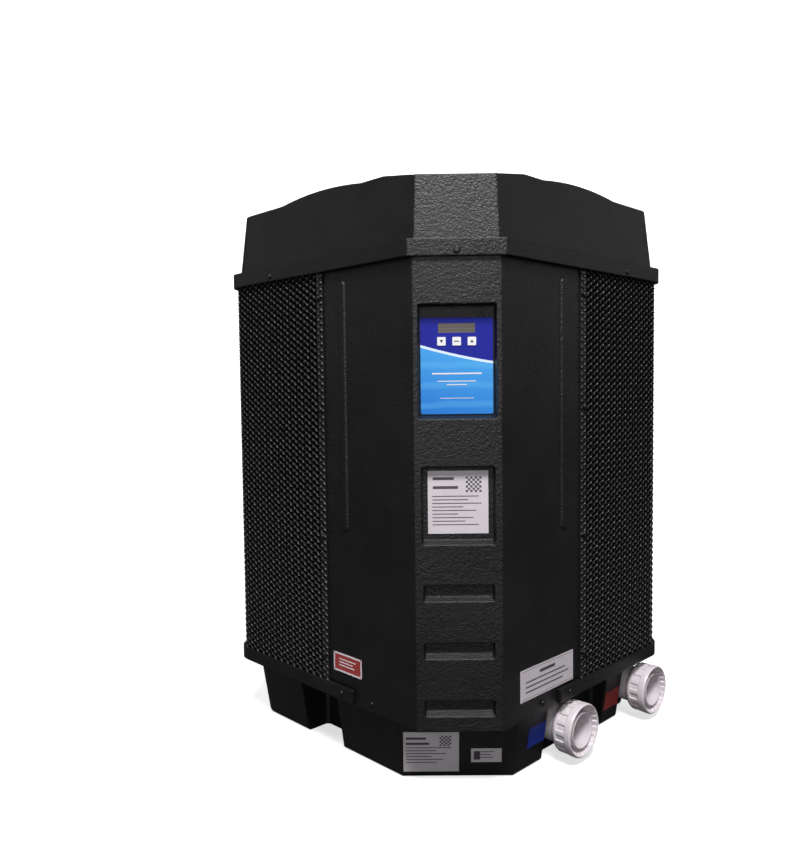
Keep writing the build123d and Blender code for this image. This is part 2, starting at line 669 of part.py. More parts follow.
def foot_spots():
    x, y, _ = spot_point(COMP_AT, 0)
    turns = [math.radians(90 * i) for i in range(4)]
    return [(x + FOOT_PCR * math.cos(t), y + FOOT_PCR * math.sin(t)) for t in turns]


def compressor_grommets():
    grommet = Cylinder(GROMMET_R, COMP_FOOT, align=LOW) - Cylinder(FOOT_HOLE, COMP_FOOT, align=LOW)
    return Compound(children=[Pos(*spot, SUMP_FLOOR) * grommet for spot in foot_spots()])


def compressor_bolts():
    bolts = []
    for spot in foot_spots():
        shank = Pos(*spot, SUMP_FLOOR) * Cylinder(FOOT_BOLT, COMP_FOOT + FOOT_T, align=LOW)
        head = Pos(*spot, COMP_LOW + FOOT_T) * extrude(RegularPolygon(BOLT_HEAD[0], 6), amount=BOLT_HEAD[1])
        bolts.append(shank + head)
    return Compound(children=bolts)


def terminal_cover():
    x, y, _ = spot_point(COMP_AT, 0)
    box = Pos(x, y - COMP_R, COMP_LOW + TERMINAL_UP) * Box(*TERMINAL_BOX)
    return box - post(COMP_AT, COMP_R, COMP_LOW, COMP_LOW + COMP_H)


def accumulator():
    body = post(ACC_AT, ACC_R, SUMP_FLOOR, SUMP_FLOOR + ACC_H)
    return fillet(body.edges().filter_by(GeomType.CIRCLE), 20)


def suction_line():
    top = SUMP_FLOOR + ACC_H
    start = spot_point(ACC_AT, top)
    comp = (COMP_AT[0], COMP_AT[1] + COMP_R)
    stub = (comp[0], comp[1] + SUCTION_STUB)
    z = top + SUCTION_LIFT
    low = z - SUCTION_FALL
    run = [start, spot_point(ACC_AT, z), spot_point((COMP_AT[0], ACC_AT[1]), z)]
    run += [spot_point(stub, z), spot_point(stub, low), spot_point(comp, low)]
    return tube_path(run, SUCTION_BEND, LINE_R)


def discharge_line():
    start = spot_point(COMP_AT, COMP_LOW + COMP_H)
    z = COMP_LOW + COMP_H + HOT_LIFT
    low = z - HOT_FALL
    end = (EXCH_AT[0], EXCH_AT[1] - EXCH_R)
    run = [start, spot_point(COMP_AT, z), spot_point((EXCH_AT[0], COMP_AT[1]), z)]
    run += [spot_point((EXCH_AT[0], COMP_AT[1]), low), spot_point(end, low)]
    return tube_path(run, HOT_BEND, LINE_R)


def liquid_line():
    """From the exchanger's foot to the filter drier beside it."""
    start = (EXCH_AT[0] - EXCH_R, EXCH_AT[1])
    run = [spot_point(start, LIQUID_Z), spot_point(DRIER_AT, LIQUID_Z), spot_point(DRIER_AT, DRIER_LOW)]
    return tube_path(run, LIQUID_BEND, THIN_LINE_R)


def filter_drier():
    body = post(DRIER_AT, DRIER_R, DRIER_LOW, VALVE_LOW)
    return fillet(body.edges().filter_by(GeomType.CIRCLE), 12)


def expansion_valve():
    neck = VALVE_LOW + VALVE_STEM[1]
    body = post(DRIER_AT, VALVE_STEM[0], VALVE_LOW, neck)
    return body + post(DRIER_AT, VALVE_HEAD[0], neck, neck + VALVE_HEAD[1])


def feed_line():
    """From the expansion valve up and over to the coil's top on the rear right face."""
    z = VALVE_LOW + VALVE_STEM[1] + VALVE_HEAD[1]
    high = COIL_TOP - FEED_DROP
    coil_wall = BODY_HALF - COIL_INSET - COIL_T
    run = [spot_point(DRIER_AT, z), spot_point(DRIER_AT, high), spot_point((DRIER_AT[0], coil_wall), high)]
    return tube_path(run, FEED_BEND, THIN_LINE_R)


parts["compressor"] = compressor()
parts["compressor_grommets"] = compressor_grommets()
parts["compressor_bolts"] = compressor_bolts()
parts["terminal_cover"] = terminal_cover()
parts["accumulator"] = accumulator()
parts["suction_line"] = suction_line()
parts["discharge_line"] = discharge_line()
parts["liquid_line"] = liquid_line()
parts["filter_drier"] = filter_drier()
parts["expansion_valve"] = expansion_valve()
parts["feed_line"] = feed_line()


# ---- heat exchanger and water pipes ----
def exchanger_shell():
    body = post(EXCH_AT, EXCH_R, SUMP_FLOOR, SUMP_FLOOR + EXCH_H)
    body -= post(EXCH_AT, EXCH_R - EXCH_WALL, SUMP_FLOOR + EXCH_WALL, SUMP_FLOOR + EXCH_H)
    return body


def exchanger_cap():
    low = SUMP_FLOOR + EXCH_H
    cap = post(EXCH_AT, EXCH_R + EXCH_WALL, low, low + CAP_H)
    return fillet(cap.edges().group_by(Axis.Z)[-1], 10)


def titanium_coil():
    rings = []
    for i in range(TURNS):
        z = SUMP_FLOOR + TURN_LOW + i * TURN_PITCH
        rings.append(at(EXCH_AT, z) * Torus(EXCH_R - EXCH_WALL - TURN_GAP, TURN_TUBE))
    return Compound(children=rings)


def water_pipe(along, turn_out):
    """Pipe from inside a union's tail, straight in, then round a bend to the exchanger."""
    toward = 1 if along < EXCH_AT[1] else -1
    end_along = EXCH_AT[1] - toward * (EXCH_R - EXCH_WALL / 2)
    run = [spot_point((UNION_OUT - TAIL_STOP, along), UNION_Z), spot_point((turn_out, along), UNION_Z)]
    run.append(spot_point((turn_out, end_along), UNION_Z))
    pipe = tube_path(run, PIPE_R + PIPE_BEND, PIPE_R, PIPE_R - PIPE_WALL)
    return pipe - post(EXCH_AT, EXCH_R, SUMP_FLOOR, SUMP_FLOOR + EXCH_H)


parts["exchanger_shell"] = exchanger_shell()
parts["exchanger_cap"] = exchanger_cap()
parts["titanium_coil"] = titanium_coil()
parts["inlet_pipe"] = water_pipe(INLET_ALONG, EXCH_AT[0])
parts["outlet_pipe"] = water_pipe(OUTLET_ALONG, EXCH_AT[0])


# ---- unions ----
def round_piece(along, profile):
    """Turn a profile of (radius, out) points about a union's axis."""
    frame = on_face(1, along, 0, UNION_Z)
    spin = revolve(make_face(Plane.XZ * Polyline(*profile, close=True)), Axis.Z)
    return frame.location * spin


def union_tail(along, wall_out):
    hole = PIPE_R + SOCKET_GAP
    stop = UNION_OUT - TAIL_STOP
    end = UNION_OUT + NECK_L
    profile = [(hole, wall_out), (TAIL_R - 2, wall_out), (TAIL_R, wall_out + 2), (TAIL_R, UNION_OUT - 1)]
    profile += [(TAIL_R - 1, UNION_OUT), (NECK_R, UNION_OUT), (NECK_R, end), (STOP_R, end)]
    profile += [(STOP_R, stop), (hole, stop)]
    return round_piece(along, profile)


def union_oring(along):
    low = UNION_OUT + NECK_L
    high = low + RING_SEAT
    inner = STOP_R + ORING_IN
    outer = inner + ORING_W
    return round_piece(along, [(inner, low), (outer, low), (outer, high), (inner, high)])


def union_connector(along):
    low = CONN_OUT + RING_SEAT
    socket = PIPE_R + SOCKET_GAP
    mouth = low + STOP_L + SOCKET_L
    tip = mouth + CHAMFER
    profile = [(STOP_R, low), (FLANGE_R, low), (FLANGE_R, low + FLANGE_L), (CONN_R, low + FLANGE_L)]
    profile += [(CONN_R, tip), (socket + CHAMFER, tip), (socket, mouth)]
    profile += [(socket, low + STOP_L), (STOP_R, low + STOP_L)]
    return round_piece(along, profile)


def union_nut(along):
    low = NUT_OUT
    high = low + NUT_L
    lip = CONN_OUT + RING_SEAT + FLANGE_L + 1
    bore = NECK_R + FIT
    grip = CONN_R + FIT
    back = high - MOUTH_L
    profile = [(bore, low), (NUT_R - 5, low), (NUT_R - 1, low + 6), (NUT_R - 1, high - 10)]
    profile += [(NUT_R, high - 8), (NUT_R, high - 3), (NUT_R - 2, high), (MOUTH_R, high)]
    profile += [(grip, back), (grip, lip), (bore, lip)]
    nut = round_piece(along, profile)
    frame = on_face(1, along, low + NUT_L * FLAT_MID, UNION_Z)
    flat = Box(FLAT_DEEP, FLAT_W, NUT_L * FLAT_SPAN)
    for i in range(NUT_FLATS):
        spot = Rot(0, 0, i * 360 / NUT_FLATS) * Pos(NUT_R + FLAT_PROUD, 0, 0)
        nut -= frame.location * spot * flat
    return nut


ports = (("inlet", INLET_ALONG, PORT_POCKET_DEEP), ("outlet", OUTLET_ALONG, PORT_CORNER_DEEP))
for name, along, wall in ports:
    parts[name + "_tail"] = union_tail(along, wall)
    parts[name + "_oring"] = union_oring(along)
    parts[name + "_connector"] = union_connector(along)
    parts[name + "_nut"] = union_nut(along)


# ---- electrical ----
def block(x, y, z, wide, deep, high):
    """Box by its middle in x, its front face in y and its bottom in z."""
    return Pos(x, y, z) * Box(wide, deep, high, align=(Align.CENTER, Align.MIN, Align.MIN))


def control_box():
    outer = block(0, BOX_FRONT, BOX_LOW, 2 * BOX_HALF_W, BOX_DEEP, BOX_H)
    inner_w = 2 * (BOX_HALF_W - SHEET_T)
    inner_h = BOX_H - 2 * SHEET_T
    return outer - block(0, BOX_FRONT, BOX_LOW + SHEET_T, inner_w, BOX_DEEP - SHEET_T, inner_h)


def on_box_back(x, up, size):
    """Block standing out of the box's back, at x and at a height above the box's floor."""
    wide, deep, high = size
    return block(x, BOX_BACK - deep, BOX_LOW + up, wide, deep, high)


def capacitor():
    can = Cylinder(CAPACITOR_R, CAPACITOR_H, align=LOW)
    can = Pos(CAPACITOR_X, BOX_BACK - CAPACITOR_R, BOX_LOW + LOW_ROW) * can
    return fillet(can.edges().filter_by(GeomType.CIRCLE), SHEET_T * 2)


def terminal_block():
    body = on_box_back(TERMINAL_X, LOW_ROW, TERMINALS)
    wide, deep, high = TERMINAL_SLOT
    for i in range(4):
        x = TERMINAL_X + (i - 1.5) * TERMINAL_PITCH
        body -= block(x, BOX_BACK - TERMINALS[1], BOX_LOW + LOW_ROW + deep, wide, deep, high)
    return body


def transformer():
    rise = (WINDING[2] - CORE[2]) / 2
    return on_box_back(CORE_X, MIDDLE_ROW, CORE) + on_box_back(CORE_X, MIDDLE_ROW - rise, WINDING)


def control_board():
    wide, deep, high = BOARD
    tray = (wide - 2 * BOARD_RIM, deep - SHEET_T, high - 2 * BOARD_RIM)
    plate = on_box_back(BOARD_X, HIGH_ROW, BOARD)
    board = plate - on_box_back(BOARD_X, HIGH_ROW + BOARD_RIM, tray)
    relays = [on_box_back(x, HIGH_ROW + LOW_ROW, RELAY) for x in RELAY_X]
    return board + [relay - plate for relay in relays]


parts["bulkhead"] = block(0, BULKHEAD_Y, PLINTH_H, 2 * BULKHEAD_HALF_W, SHEET_T, PANEL_TOP - PLINTH_H)
parts["control_box"] = control_box()
parts["contactor"] = on_box_back(CONTACTOR_X, HIGH_ROW, CONTACTOR)
parts["capacitor"] = capacitor()
parts["transformer"] = transformer()
parts["terminal_block"] = terminal_block()
parts["control_board"] = control_board()


# ---- control face ----
def control_face():
    face = on_front(0, PLATE_BACK, PLATE_Z) * RectangleRounded(PLATE_W, PLATE_H, RECESS_R)
    plate = extrude(face, amount=PLATE_T)
    hole = KEY_W + 2 * KEY_GAP
    for i in (-1, 0, 1):
        plate -= on_front(i * KEY_PITCH, PLATE_BACK, KEY_Z).location * Box(hole, hole, 4 * PLATE_T)
    return plate - on_front(0, PLATE_FRONT, LCD_Z).location * Box(LCD_W, LCD_H, PLATE_T)


def key(i):
    front = PLATE_FRONT + KEY_RISE
    face = on_front(i * KEY_PITCH, front - KEY_DEPTH, KEY_Z) * RectangleRounded(KEY_W, KEY_W, KEY_R)
    return extrude(face, amount=KEY_DEPTH)


def lcd_window():
    low = PLATE_FRONT - PLATE_T / 2
    return extrude(on_front(0, low, LCD_Z) * Rectangle(LCD_W, LCD_H), amount=PLATE_T / 2 - LCD_SUNK)


def lcd_module():
    return block(0, PANEL_T - PLATE_BACK, LCD_Z - LCD_MODULE[2] / 2, *LCD_MODULE)


parts["control_face"] = control_face()
parts["lcd_window"] = lcd_window()
parts["lcd_module"] = lcd_module()
for i, name in enumerate(("button_down", "button_mode", "button_up")):
    parts[name] = key(i - 1)


# ---- stickers ----
def sticker(plane, wide, high):
    return extrude(plane * Rectangle(wide, high), amount=STICKER_T)


def base_out(z):
    return PLINTH_HALF + PLINTH_FLARE * z / PLINTH_H


def base_front_plane(x, z):
    """On the plinth's leaning front facet."""
    low = PLINTH_HALF * ROOT2 - PLINTH_FACET
    high = (PLINTH_HALF + PLINTH_FLARE) * ROOT2 - PLINTH_FACET - PLINTH_FLARE * TAN_EIGHTH
    lean = math.degrees(math.atan2(high - low, PLINTH_H))
    return on_front(x, low + (high - low) * z / PLINTH_H, z, lean)


def base_face_plane(side, along, z):
    tip = math.radians(DRAFT)
    out = base_out(z)
    origin = Vector(side * (out + along) / ROOT2, (along - out) / ROOT2, z)
    normal = Vector(side * math.cos(tip) / ROOT2, -math.cos(tip) / ROOT2, -math.sin(tip))
    return Plane(origin, x_dir=(1, side, 0), z_dir=normal)


def face_sticker(side, spec):
    along, z, wide, high = spec
    return sticker(on_face(side, along, PANEL_HALF, z), wide, high)


def base_sticker(spec):
    along, z, wide, high = spec
    return sticker(base_face_plane(1, along, z), wide, high)


def rating_labels():
    x, z, wide, high = POCKET_LABEL
    stickers = [sticker(on_front(x, PANEL_FRONT - LABEL_POCKET_DEEP, z), wide, high)]
    for x, z, wide, high in BASE_LABELS:
        stickers.append(sticker(base_front_plane(x, z), wide, high))
    return Compound(children=stickers)


parts["rating_labels"] = rating_labels()
parts["notice_label"] = face_sticker(1, NOTICE)
parts["warning_sticker"] = face_sticker(-1, WARNING)
parts["inlet_tag"] = base_sticker(INLET_TAG)
parts["outlet_tag"] = base_sticker(OUTLET_TAG)


# ---- fasteners ----
def dome_screw(plane):
    head = plane.location * Cylinder(SCREW_R, SCREW_RISE, align=LOW)
    edges = head.edges().filter_by(GeomType.CIRCLE).sort_by(lambda e: e.center().dot(plane.z_dir))
    return fillet(edges[-1], SCREW_RISE - 0.5)


def cowl_screws():
    mid = (SKIRT_LOW + CASE_TOP) / 2 - COWL_SCREW_LOW
    front = BODY_HALF * ROOT2 - FACET_HALF
    heads = [dome_screw(on_front(0, front, mid))]
    for side in (-1, 1):
        heads.append(dome_screw(on_face(side, BODY_HALF / 2, BODY_HALF, mid)))
        rear = on_face(side, 0, BODY_HALF, mid)
        heads.append(Rot(0, 0, 180) * dome_screw(rear))
    return Compound(children=heads)


def panel_screws():
    heads = []
    for side in (-1, 1):
        for spot, out in ((APRON_SCREW, PANEL_HALF), (LIP_SCREW, BODY_HALF - LIP_INSET)):
            heads.append(dome_screw(on_face(side, spot[0], out, spot[1])))
    return Compound(children=heads)


def guard_screws():
    spots = [(side, LIP_TOP + up) for side in (-1, 1) for up in GUARD_SCREW_UP]
    along = PANEL_EDGE + EDGE_GAP + SCREW_IN
    return Compound(children=[dome_screw(on_face(side, along, GUARD_HALF, z)) for side, z in spots])


parts["cowl_screws"] = cowl_screws()
parts["panel_screws"] = panel_screws()
parts["guard_screws"] = guard_screws()

os.makedirs("parts", exist_ok=True)
for name, piece in parts.items():
    export_step(piece, f"parts/{name}.step")
print(len(parts), "nodes written")
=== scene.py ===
import math
import bmesh
import bpy
from mathutils import Matrix, Vector


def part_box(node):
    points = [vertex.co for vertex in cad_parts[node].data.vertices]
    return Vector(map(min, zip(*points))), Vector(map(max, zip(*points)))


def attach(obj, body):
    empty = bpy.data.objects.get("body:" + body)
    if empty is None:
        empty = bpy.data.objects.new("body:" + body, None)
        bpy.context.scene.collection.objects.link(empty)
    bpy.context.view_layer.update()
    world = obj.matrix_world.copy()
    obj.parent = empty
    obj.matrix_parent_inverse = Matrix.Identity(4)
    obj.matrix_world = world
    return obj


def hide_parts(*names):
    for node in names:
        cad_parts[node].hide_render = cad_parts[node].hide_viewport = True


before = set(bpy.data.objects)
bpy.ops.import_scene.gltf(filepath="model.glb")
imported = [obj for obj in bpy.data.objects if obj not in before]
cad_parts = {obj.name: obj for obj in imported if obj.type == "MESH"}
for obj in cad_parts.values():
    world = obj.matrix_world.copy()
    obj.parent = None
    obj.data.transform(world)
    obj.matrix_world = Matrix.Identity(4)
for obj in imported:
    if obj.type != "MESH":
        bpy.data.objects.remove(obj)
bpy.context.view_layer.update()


# ---- Studio ----
# A plain pale floor that curves up behind the unit. One soft box hangs steeply above, a dim
# wide one stands in front, and weak fills at both sides let black plastic show its edges.
FLOOR_SIZE = 14.0
FLOOR_BEND = 2.5
FLOOR_BACK = 5.0
BEND_STEPS = 12
FLOOR_LIFT = 0.62
SURROUND = 0.05


def linear(hex_colour):
    """An sRGB hex colour as the linear colour that a shader takes."""
    parts = [int(hex_colour[i:i + 2], 16) / 255 for i in (1, 3, 5)]
    return [p / 12.92 if p <= 0.04045 else ((p + 0.055) / 1.055) ** 2.4 for p in parts] + [1.0]


def add(material, kind, settings=None, **inputs):
    """Add a node; settings are its attributes, inputs are values or sockets by input name."""
    node = material.node_tree.nodes.new("ShaderNode" + kind)
    for name, value in (settings or {}).items():
        setattr(node, name, value)
    for name, value in inputs.items():
        key = int(name[1:]) if name[1:].isdigit() else name.replace("_", " ")
        if isinstance(value, bpy.types.NodeSocket):
            material.node_tree.links.new(value, node.inputs[key])
        else:
            node.inputs[key].default_value = value
    return node


def new_material(name):
    material = bpy.data.materials.new(name)
    material.use_nodes = True
    return material, material.node_tree.nodes["Principled BSDF"]


def mesh_piece(name, bm, material, smooth=False):
    """Turn a bmesh into an object with one material."""
    bmesh.ops.recalc_face_normals(bm, faces=bm.faces)
    mesh = bpy.data.meshes.new(name)
    bm.to_mesh(mesh)
    bm.free()
    for face in mesh.polygons:
        face.use_smooth = smooth
    mesh.materials.append(material)
    piece = bpy.data.objects.new(name, mesh)
    bpy.context.scene.collection.objects.link(piece)
    return piece


def painted_floor():
    """Matt studio paint: pale and even, with a trace of roller texture. It shows white, and throws
    little light back up, as a floor does when black flags stand just outside the picture."""
    material, shader = new_material("matt_studio_paint")
    seen = add(material, "LightPath").outputs["Is Camera Ray"]
    pale = add(material, "Mix", {"data_type": "RGBA"}, Factor=seen, _6=linear("#4c4c4e"),
               _7=linear("#f8f8f8"))
    glow = add(material, "MapRange", None, Value=seen, To_Max=FLOOR_LIFT)
    material.node_tree.links.new(pale.outputs[2], shader.inputs["Base Color"])
    material.node_tree.links.new(glow.outputs[0], shader.inputs["Emission Strength"])
    shader.inputs["Emission Color"].default_value = (1, 1, 1, 1)
    grain = add(material, "TexNoise", Scale=40.0, Detail=4.0)
    bump = add(material, "Bump", Strength=0.02, Distance=0.002, Height=grain.outputs["Fac"])
    material.node_tree.links.new(bump.outputs[0], shader.inputs["Normal"])
    shader.inputs["Roughness"].default_value = 0.85
    shader.inputs["Specular IOR Level"].default_value = 0.15
    return material


def studio_floor():
    profile = [(-FLOOR_SIZE / 2, 0.0), (FLOOR_BACK - FLOOR_BEND, 0.0)]
    for i in range(1, BEND_STEPS + 1):
        turn = math.radians(90 * i / BEND_STEPS)
        y = FLOOR_BACK - FLOOR_BEND + FLOOR_BEND * math.sin(turn)
        profile.append((y, FLOOR_BEND * (1 - math.cos(turn))))
    profile.append((FLOOR_BACK, FLOOR_SIZE / 2))
    bm = bmesh.new()
    rows = [[bm.verts.new((x, y, z)) for y, z in profile] for x in (-FLOOR_SIZE / 2, FLOOR_SIZE / 2)]
    for i in range(len(profile) - 1):
        bm.faces.new((rows[0][i], rows[1][i], rows[1][i + 1], rows[0][i + 1]))
    mesh_piece("studio_floor", bm, painted_floor(), smooth=True)


def soft_box(name, place, aim, width, height, power):
    light = bpy.data.lights.new(name, "AREA")
    light.shape = "RECTANGLE"
    light.size = width
    light.size_y = height
    light.energy = power
    lamp = bpy.data.objects.new(name, light)
    lamp.location = place
    lamp.rotation_euler = (Vector(aim) - Vector(place)).to_track_quat("-Z", "Y").to_euler()
    bpy.context.scene.collection.objects.link(lamp)


def studio_world():
    """White seen directly, but a dim surround for everything that it lights."""
    world = bpy.data.worlds.new("studio")
    world.use_nodes = True
    seen = add(world, "LightPath").outputs["Is Camera Ray"]
    strength = add(world, "MapRange", None, Value=seen, To_Min=SURROUND, To_Max=1.0).outputs[0]
    sky = world.node_tree.nodes["Background"]
    sky.inputs["Color"].default_value = (1, 1, 1, 1)
    world.node_tree.links.new(strength, sky.inputs["Strength"])
    bpy.context.scene.world = world


studio_floor()
studio_world()
soft_box("key_box", (0.1, -2.7, 4.3), aim=(0, -0.4, 0.8), width=1.5, height=1.1, power=250)
soft_box("front_fill", (-0.4, -4.6, 1.7), aim=(0, -0.4, 0.7), width=2.2, height=1.6, power=42)
soft_box("left_fill", (-3.6, 0.4, 1.9), aim=(0, 0, 0.6), width=0.7, height=1.8, power=5)
soft_box("right_fill", (3.6, 0.6, 1.9), aim=(0, 0, 0.6), width=0.7, height=1.8, power=6)
soft_box("backdrop_wash", (0.0, 2.6, 4.8), aim=(0, 5.0, 1.2), width=6.0, height=1.0, power=160)
bpy.context.scene.view_settings.view_transform = "Standard"


# ---- Camera ----
# Chest height, a little left of the unit and close in, so that the front corner looms.
CAMERA_AT = Vector((-0.08724, -1.7599, 0.74371))
CAMERA_YAW = 0.011
CAMERA_PITCH = 0.055
CAMERA_ROLL = 0.012
SENSOR_W = 36.0
FOCAL_TO_FRAME = 0.890892        # focal length over the frame's longer side


def studio_camera():
    lens = bpy.data.cameras.new("camera")
    lens.sensor_width = SENSOR_W
    lens.lens = SENSOR_W * FOCAL_TO_FRAME
    turn = Matrix.Rotation(CAMERA_YAW, 3, "Z") @ Matrix.Rotation(math.radians(90) - CAMERA_PITCH, 3, "X")
    turn = turn @ Matrix.Rotation(-CAMERA_ROLL, 3, "Z")
    camera = bpy.data.objects.new("camera", lens)
    camera.matrix_world = Matrix.Translation(CAMERA_AT) @ turn.to_4x4()
    bpy.context.scene.collection.objects.link(camera)
    bpy.context.scene.camera = camera


studio_camera()


# ---- Moulded casing: base pan, front panel and top cowl ----
# Rotationally moulded black polyethylene. The mould's leather-like grain scatters light on
# the faces, and every corner is soft, because the resin shrinks round it as it cools.
GRAIN = 0.0030           # drawn coarser than the mould's grain, so that it shows
GRAIN_DEPTH = 0.0011
PEBBLE = 0.0052          # larger lumps, on the front facet alone
LUMP_WEIGHT = PEBBLE / GRAIN * 1.3
FACET_STARTS, FACET_FULL = -0.82, -0.94      # the y of a face's normal as it turns to the front
EDGE_SOFTNESS = 0.004
CASING_ROUGHNESS = 0.40


def dress(material, *nodes):
    """Put a material on CAD nodes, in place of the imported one."""
    for name in nodes:
        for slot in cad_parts[name].material_slots:
            slot.material = material


def moulded_polyethylene():
    """Black PE: deep colour, broad soft gloss, a pebbled skin, and duller patches where handled."""
    material, shader = new_material("moulded_black_polyethylene")
    links = material.node_tree.links
    place = add(material, "TexCoord").outputs["Object"]
    pebble = add(material, "TexVoronoi", {"feature": "SMOOTH_F1"}, Vector=place, Scale=1 / GRAIN,
                 Smoothness=0.6)
    fine = add(material, "TexNoise", Vector=place, Scale=2.2 / GRAIN, Detail=3.0)
    broad = add(material, "TexNoise", Vector=place, Scale=9.0, Detail=5.0, Roughness=0.6)
    lumps = add(material, "TexNoise", Vector=place, Scale=1 / PEBBLE, Detail=2.0)
    facing = add(material, "SeparateXYZ", None, Vector=add(material, "NewGeometry").outputs["Normal"])
    facet = add(material, "MapRange", None, Value=facing.outputs["Y"], From_Min=FACET_STARTS,
                From_Max=FACET_FULL)
    coarse = add(material, "Math", {"operation": "MULTIPLY"}, _0=lumps.outputs["Fac"],
                 _1=facet.outputs[0])
    coarser = add(material, "Math", {"operation": "MULTIPLY"}, _0=coarse.outputs[0], _1=LUMP_WEIGHT)
    skin = add(material, "Math", {"operation": "ADD"}, _0=pebble.outputs["Distance"],
               _1=fine.outputs["Fac"])
    height = add(material, "Math", {"operation": "ADD"}, _0=skin.outputs[0], _1=coarser.outputs[0])
    edge = add(material, "Bevel", {"samples": 6}, Radius=EDGE_SOFTNESS)
    bump = add(material, "Bump", Strength=0.55, Distance=GRAIN_DEPTH, Height=height.outputs[0])
    links.new(edge.outputs[0], bump.inputs["Normal"])
    links.new(bump.outputs[0], shader.inputs["Normal"])
    tint = add(material, "ValToRGB", None, Fac=broad.outputs["Fac"])
    tint.color_ramp.elements[0].position = 0.35
    tint.color_ramp.elements[0].color = linear("#0f0f11")
    tint.color_ramp.elements[1].position = 0.75
    tint.color_ramp.elements[1].color = linear("#19181b")
    links.new(tint.outputs["Color"], shader.inputs["Base Color"])
    worn = add(material, "MapRange", None, Value=broad.outputs["Fac"], To_Min=CASING_ROUGHNESS - 0.05,
               To_Max=CASING_ROUGHNESS + 0.09)
    links.new(worn.outputs[0], shader.inputs["Roughness"])
    shader.inputs["IOR"].default_value = 1.5
    return material


dress(moulded_polyethylene(), "base_pan", "front_panel", "top_cowl")


# ---- Coil guards ----
# Black plastic-coated diamond mesh, bent round the side corners from the panel's edge to the
# rear corner. Its strands weave in and out; each proud knuckle is painted pale grey as a highlight.
CELL_W = 0.0225
CELL_H = 0.0132
STRAND_R = 0.0021
STRAND_DEEP = 0.0032     # how far a strand's inner edge lies behind its middle
KNUCKLE = 0.0011         # how far the weave carries a strand in and out
GUARD_EDGE = 0.013       # where the mesh starts, along the face from its middle
GUARD_CORNER = 0.055
NUB_W = 0.0034
NUB_H = 0.0017
NUB_RISE = 0.0009
NUB_SEAT = STRAND_R * 0.55


def coated_wire():
    """PVC-dipped steel: satin black with a thick waxy skin and dust in its hollows."""
    material, shader = new_material("pvc_coated_steel_mesh")
    place = add(material, "TexCoord").outputs["Object"]
    dust = add(material, "TexNoise", Vector=place, Scale=60.0, Detail=4.0)
    tint = add(material, "ValToRGB", None, Fac=dust.outputs["Fac"])
    tint.color_ramp.elements[0].color = linear("#0b0b0c")
    tint.color_ramp.elements[1].color = linear("#1f1d1f")
    skin = add(material, "TexNoise", Vector=place, Scale=900.0, Detail=2.0)
    bump = add(material, "Bump", Strength=0.3, Distance=0.0003, Height=skin.outputs["Fac"])
    material.node_tree.links.new(tint.outputs["Color"], shader.inputs["Base Color"])
    material.node_tree.links.new(bump.outputs[0], shader.inputs["Normal"])
    shader.inputs["Roughness"].default_value = 0.34
    return material


def guard_route(side):
    """Plan points round the cabinet, in steps of half a cell, from the panel to the rear corner."""
    corner_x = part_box("right_guard")[1].x + (math.sqrt(2) - 1) * GUARD_CORNER
    half = corner_x / math.sqrt(2) - KNUCKLE - STRAND_R
    straight = half - GUARD_CORNER
    first = straight - GUARD_EDGE
    arc = GUARD_CORNER * math.pi / 2
    total = first + arc + 2 * straight + arc / 2
    count = round(total / (CELL_W / 2))
    points = []
    for i in range(count + 1):
        run = total * i / count
        if run < first:
            along, out, turn = GUARD_EDGE + run, half, 0.0
        elif run < first + arc:
            turn = (run - first) / GUARD_CORNER
            along = straight + GUARD_CORNER * math.sin(turn)
            out = straight + GUARD_CORNER * math.cos(turn)
        elif run < first + arc + 2 * straight:
            along, out, turn = half, straight - (run - first - arc), math.pi / 2
        else:
            extra = (run - first - arc - 2 * straight) / GUARD_CORNER
            turn = math.pi / 2 + extra
            along = straight + GUARD_CORNER * math.sin(turn)
            out = -straight + GUARD_CORNER * math.cos(turn)
        x, y = (out + along) / math.sqrt(2), (along - out) / math.sqrt(2)
        normal = Vector((math.cos(turn - math.pi / 4), math.sin(turn - math.pi / 4), 0))
        points.append((Vector((side * x, y, 0)), Vector((side * normal.x, normal.y, 0))))
    return points


def strand(bm, spots):
    """A four-sided wire through spots, each a place and its outward normal."""
    rings = []
    for i, (place, normal) in enumerate(spots):
        ahead = spots[min(i + 1, len(spots) - 1)][0] - spots[max(i - 1, 0)][0]
        across = ahead.cross(normal).normalized() * STRAND_R
        lift = normal * STRAND_R
        sink = -normal * STRAND_DEEP
        rings.append([bm.verts.new(place + d) for d in (across, lift, -across, sink)])
    for one, two in zip(rings, rings[1:]):
        for k in range(4):
            bm.faces.new((one[k], one[(k + 1) % 4], two[(k + 1) % 4], two[k]))
    bm.faces.new(rings[0])
    bm.faces.new(rings[-1])


def mesh_rows(node):
    """The height of the lowest crossing, the number of rows above it, and the step between them."""
    low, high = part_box(node)
    tall = high.z - low.z - 2 * STRAND_R
    rows = round(tall / (CELL_H / 2))
    return low.z + STRAND_R, rows, tall / rows


def diamond_mesh(node, side, material):
    """The whole mesh: strands that climb one way, and strands that climb the other."""
    foot, rows, step = mesh_rows(node)
    route = guard_route(side)
    columns = len(route) - 1
    bm = bmesh.new()
    for climb in (1, -1):
        starts = [(0, j) for j in range(0, rows + 1, 2)]
        first_row = 0 if climb > 0 else rows
        starts += [(i, first_row) for i in range(1, columns) if (i + first_row) % 2 == 0]
        for column, row in starts:
            spots = []
            while 0 <= row <= rows and column <= columns:
                place, normal = route[column]
                weave = KNUCKLE * climb * (1 if column % 2 else -1)
                spots.append((place + normal * weave + Vector((0, 0, foot + row * step)), normal))
                column += 1
                row += climb
            if len(spots) > 1:
                strand(bm, spots)
    return mesh_piece(node + "_mesh", bm, material)


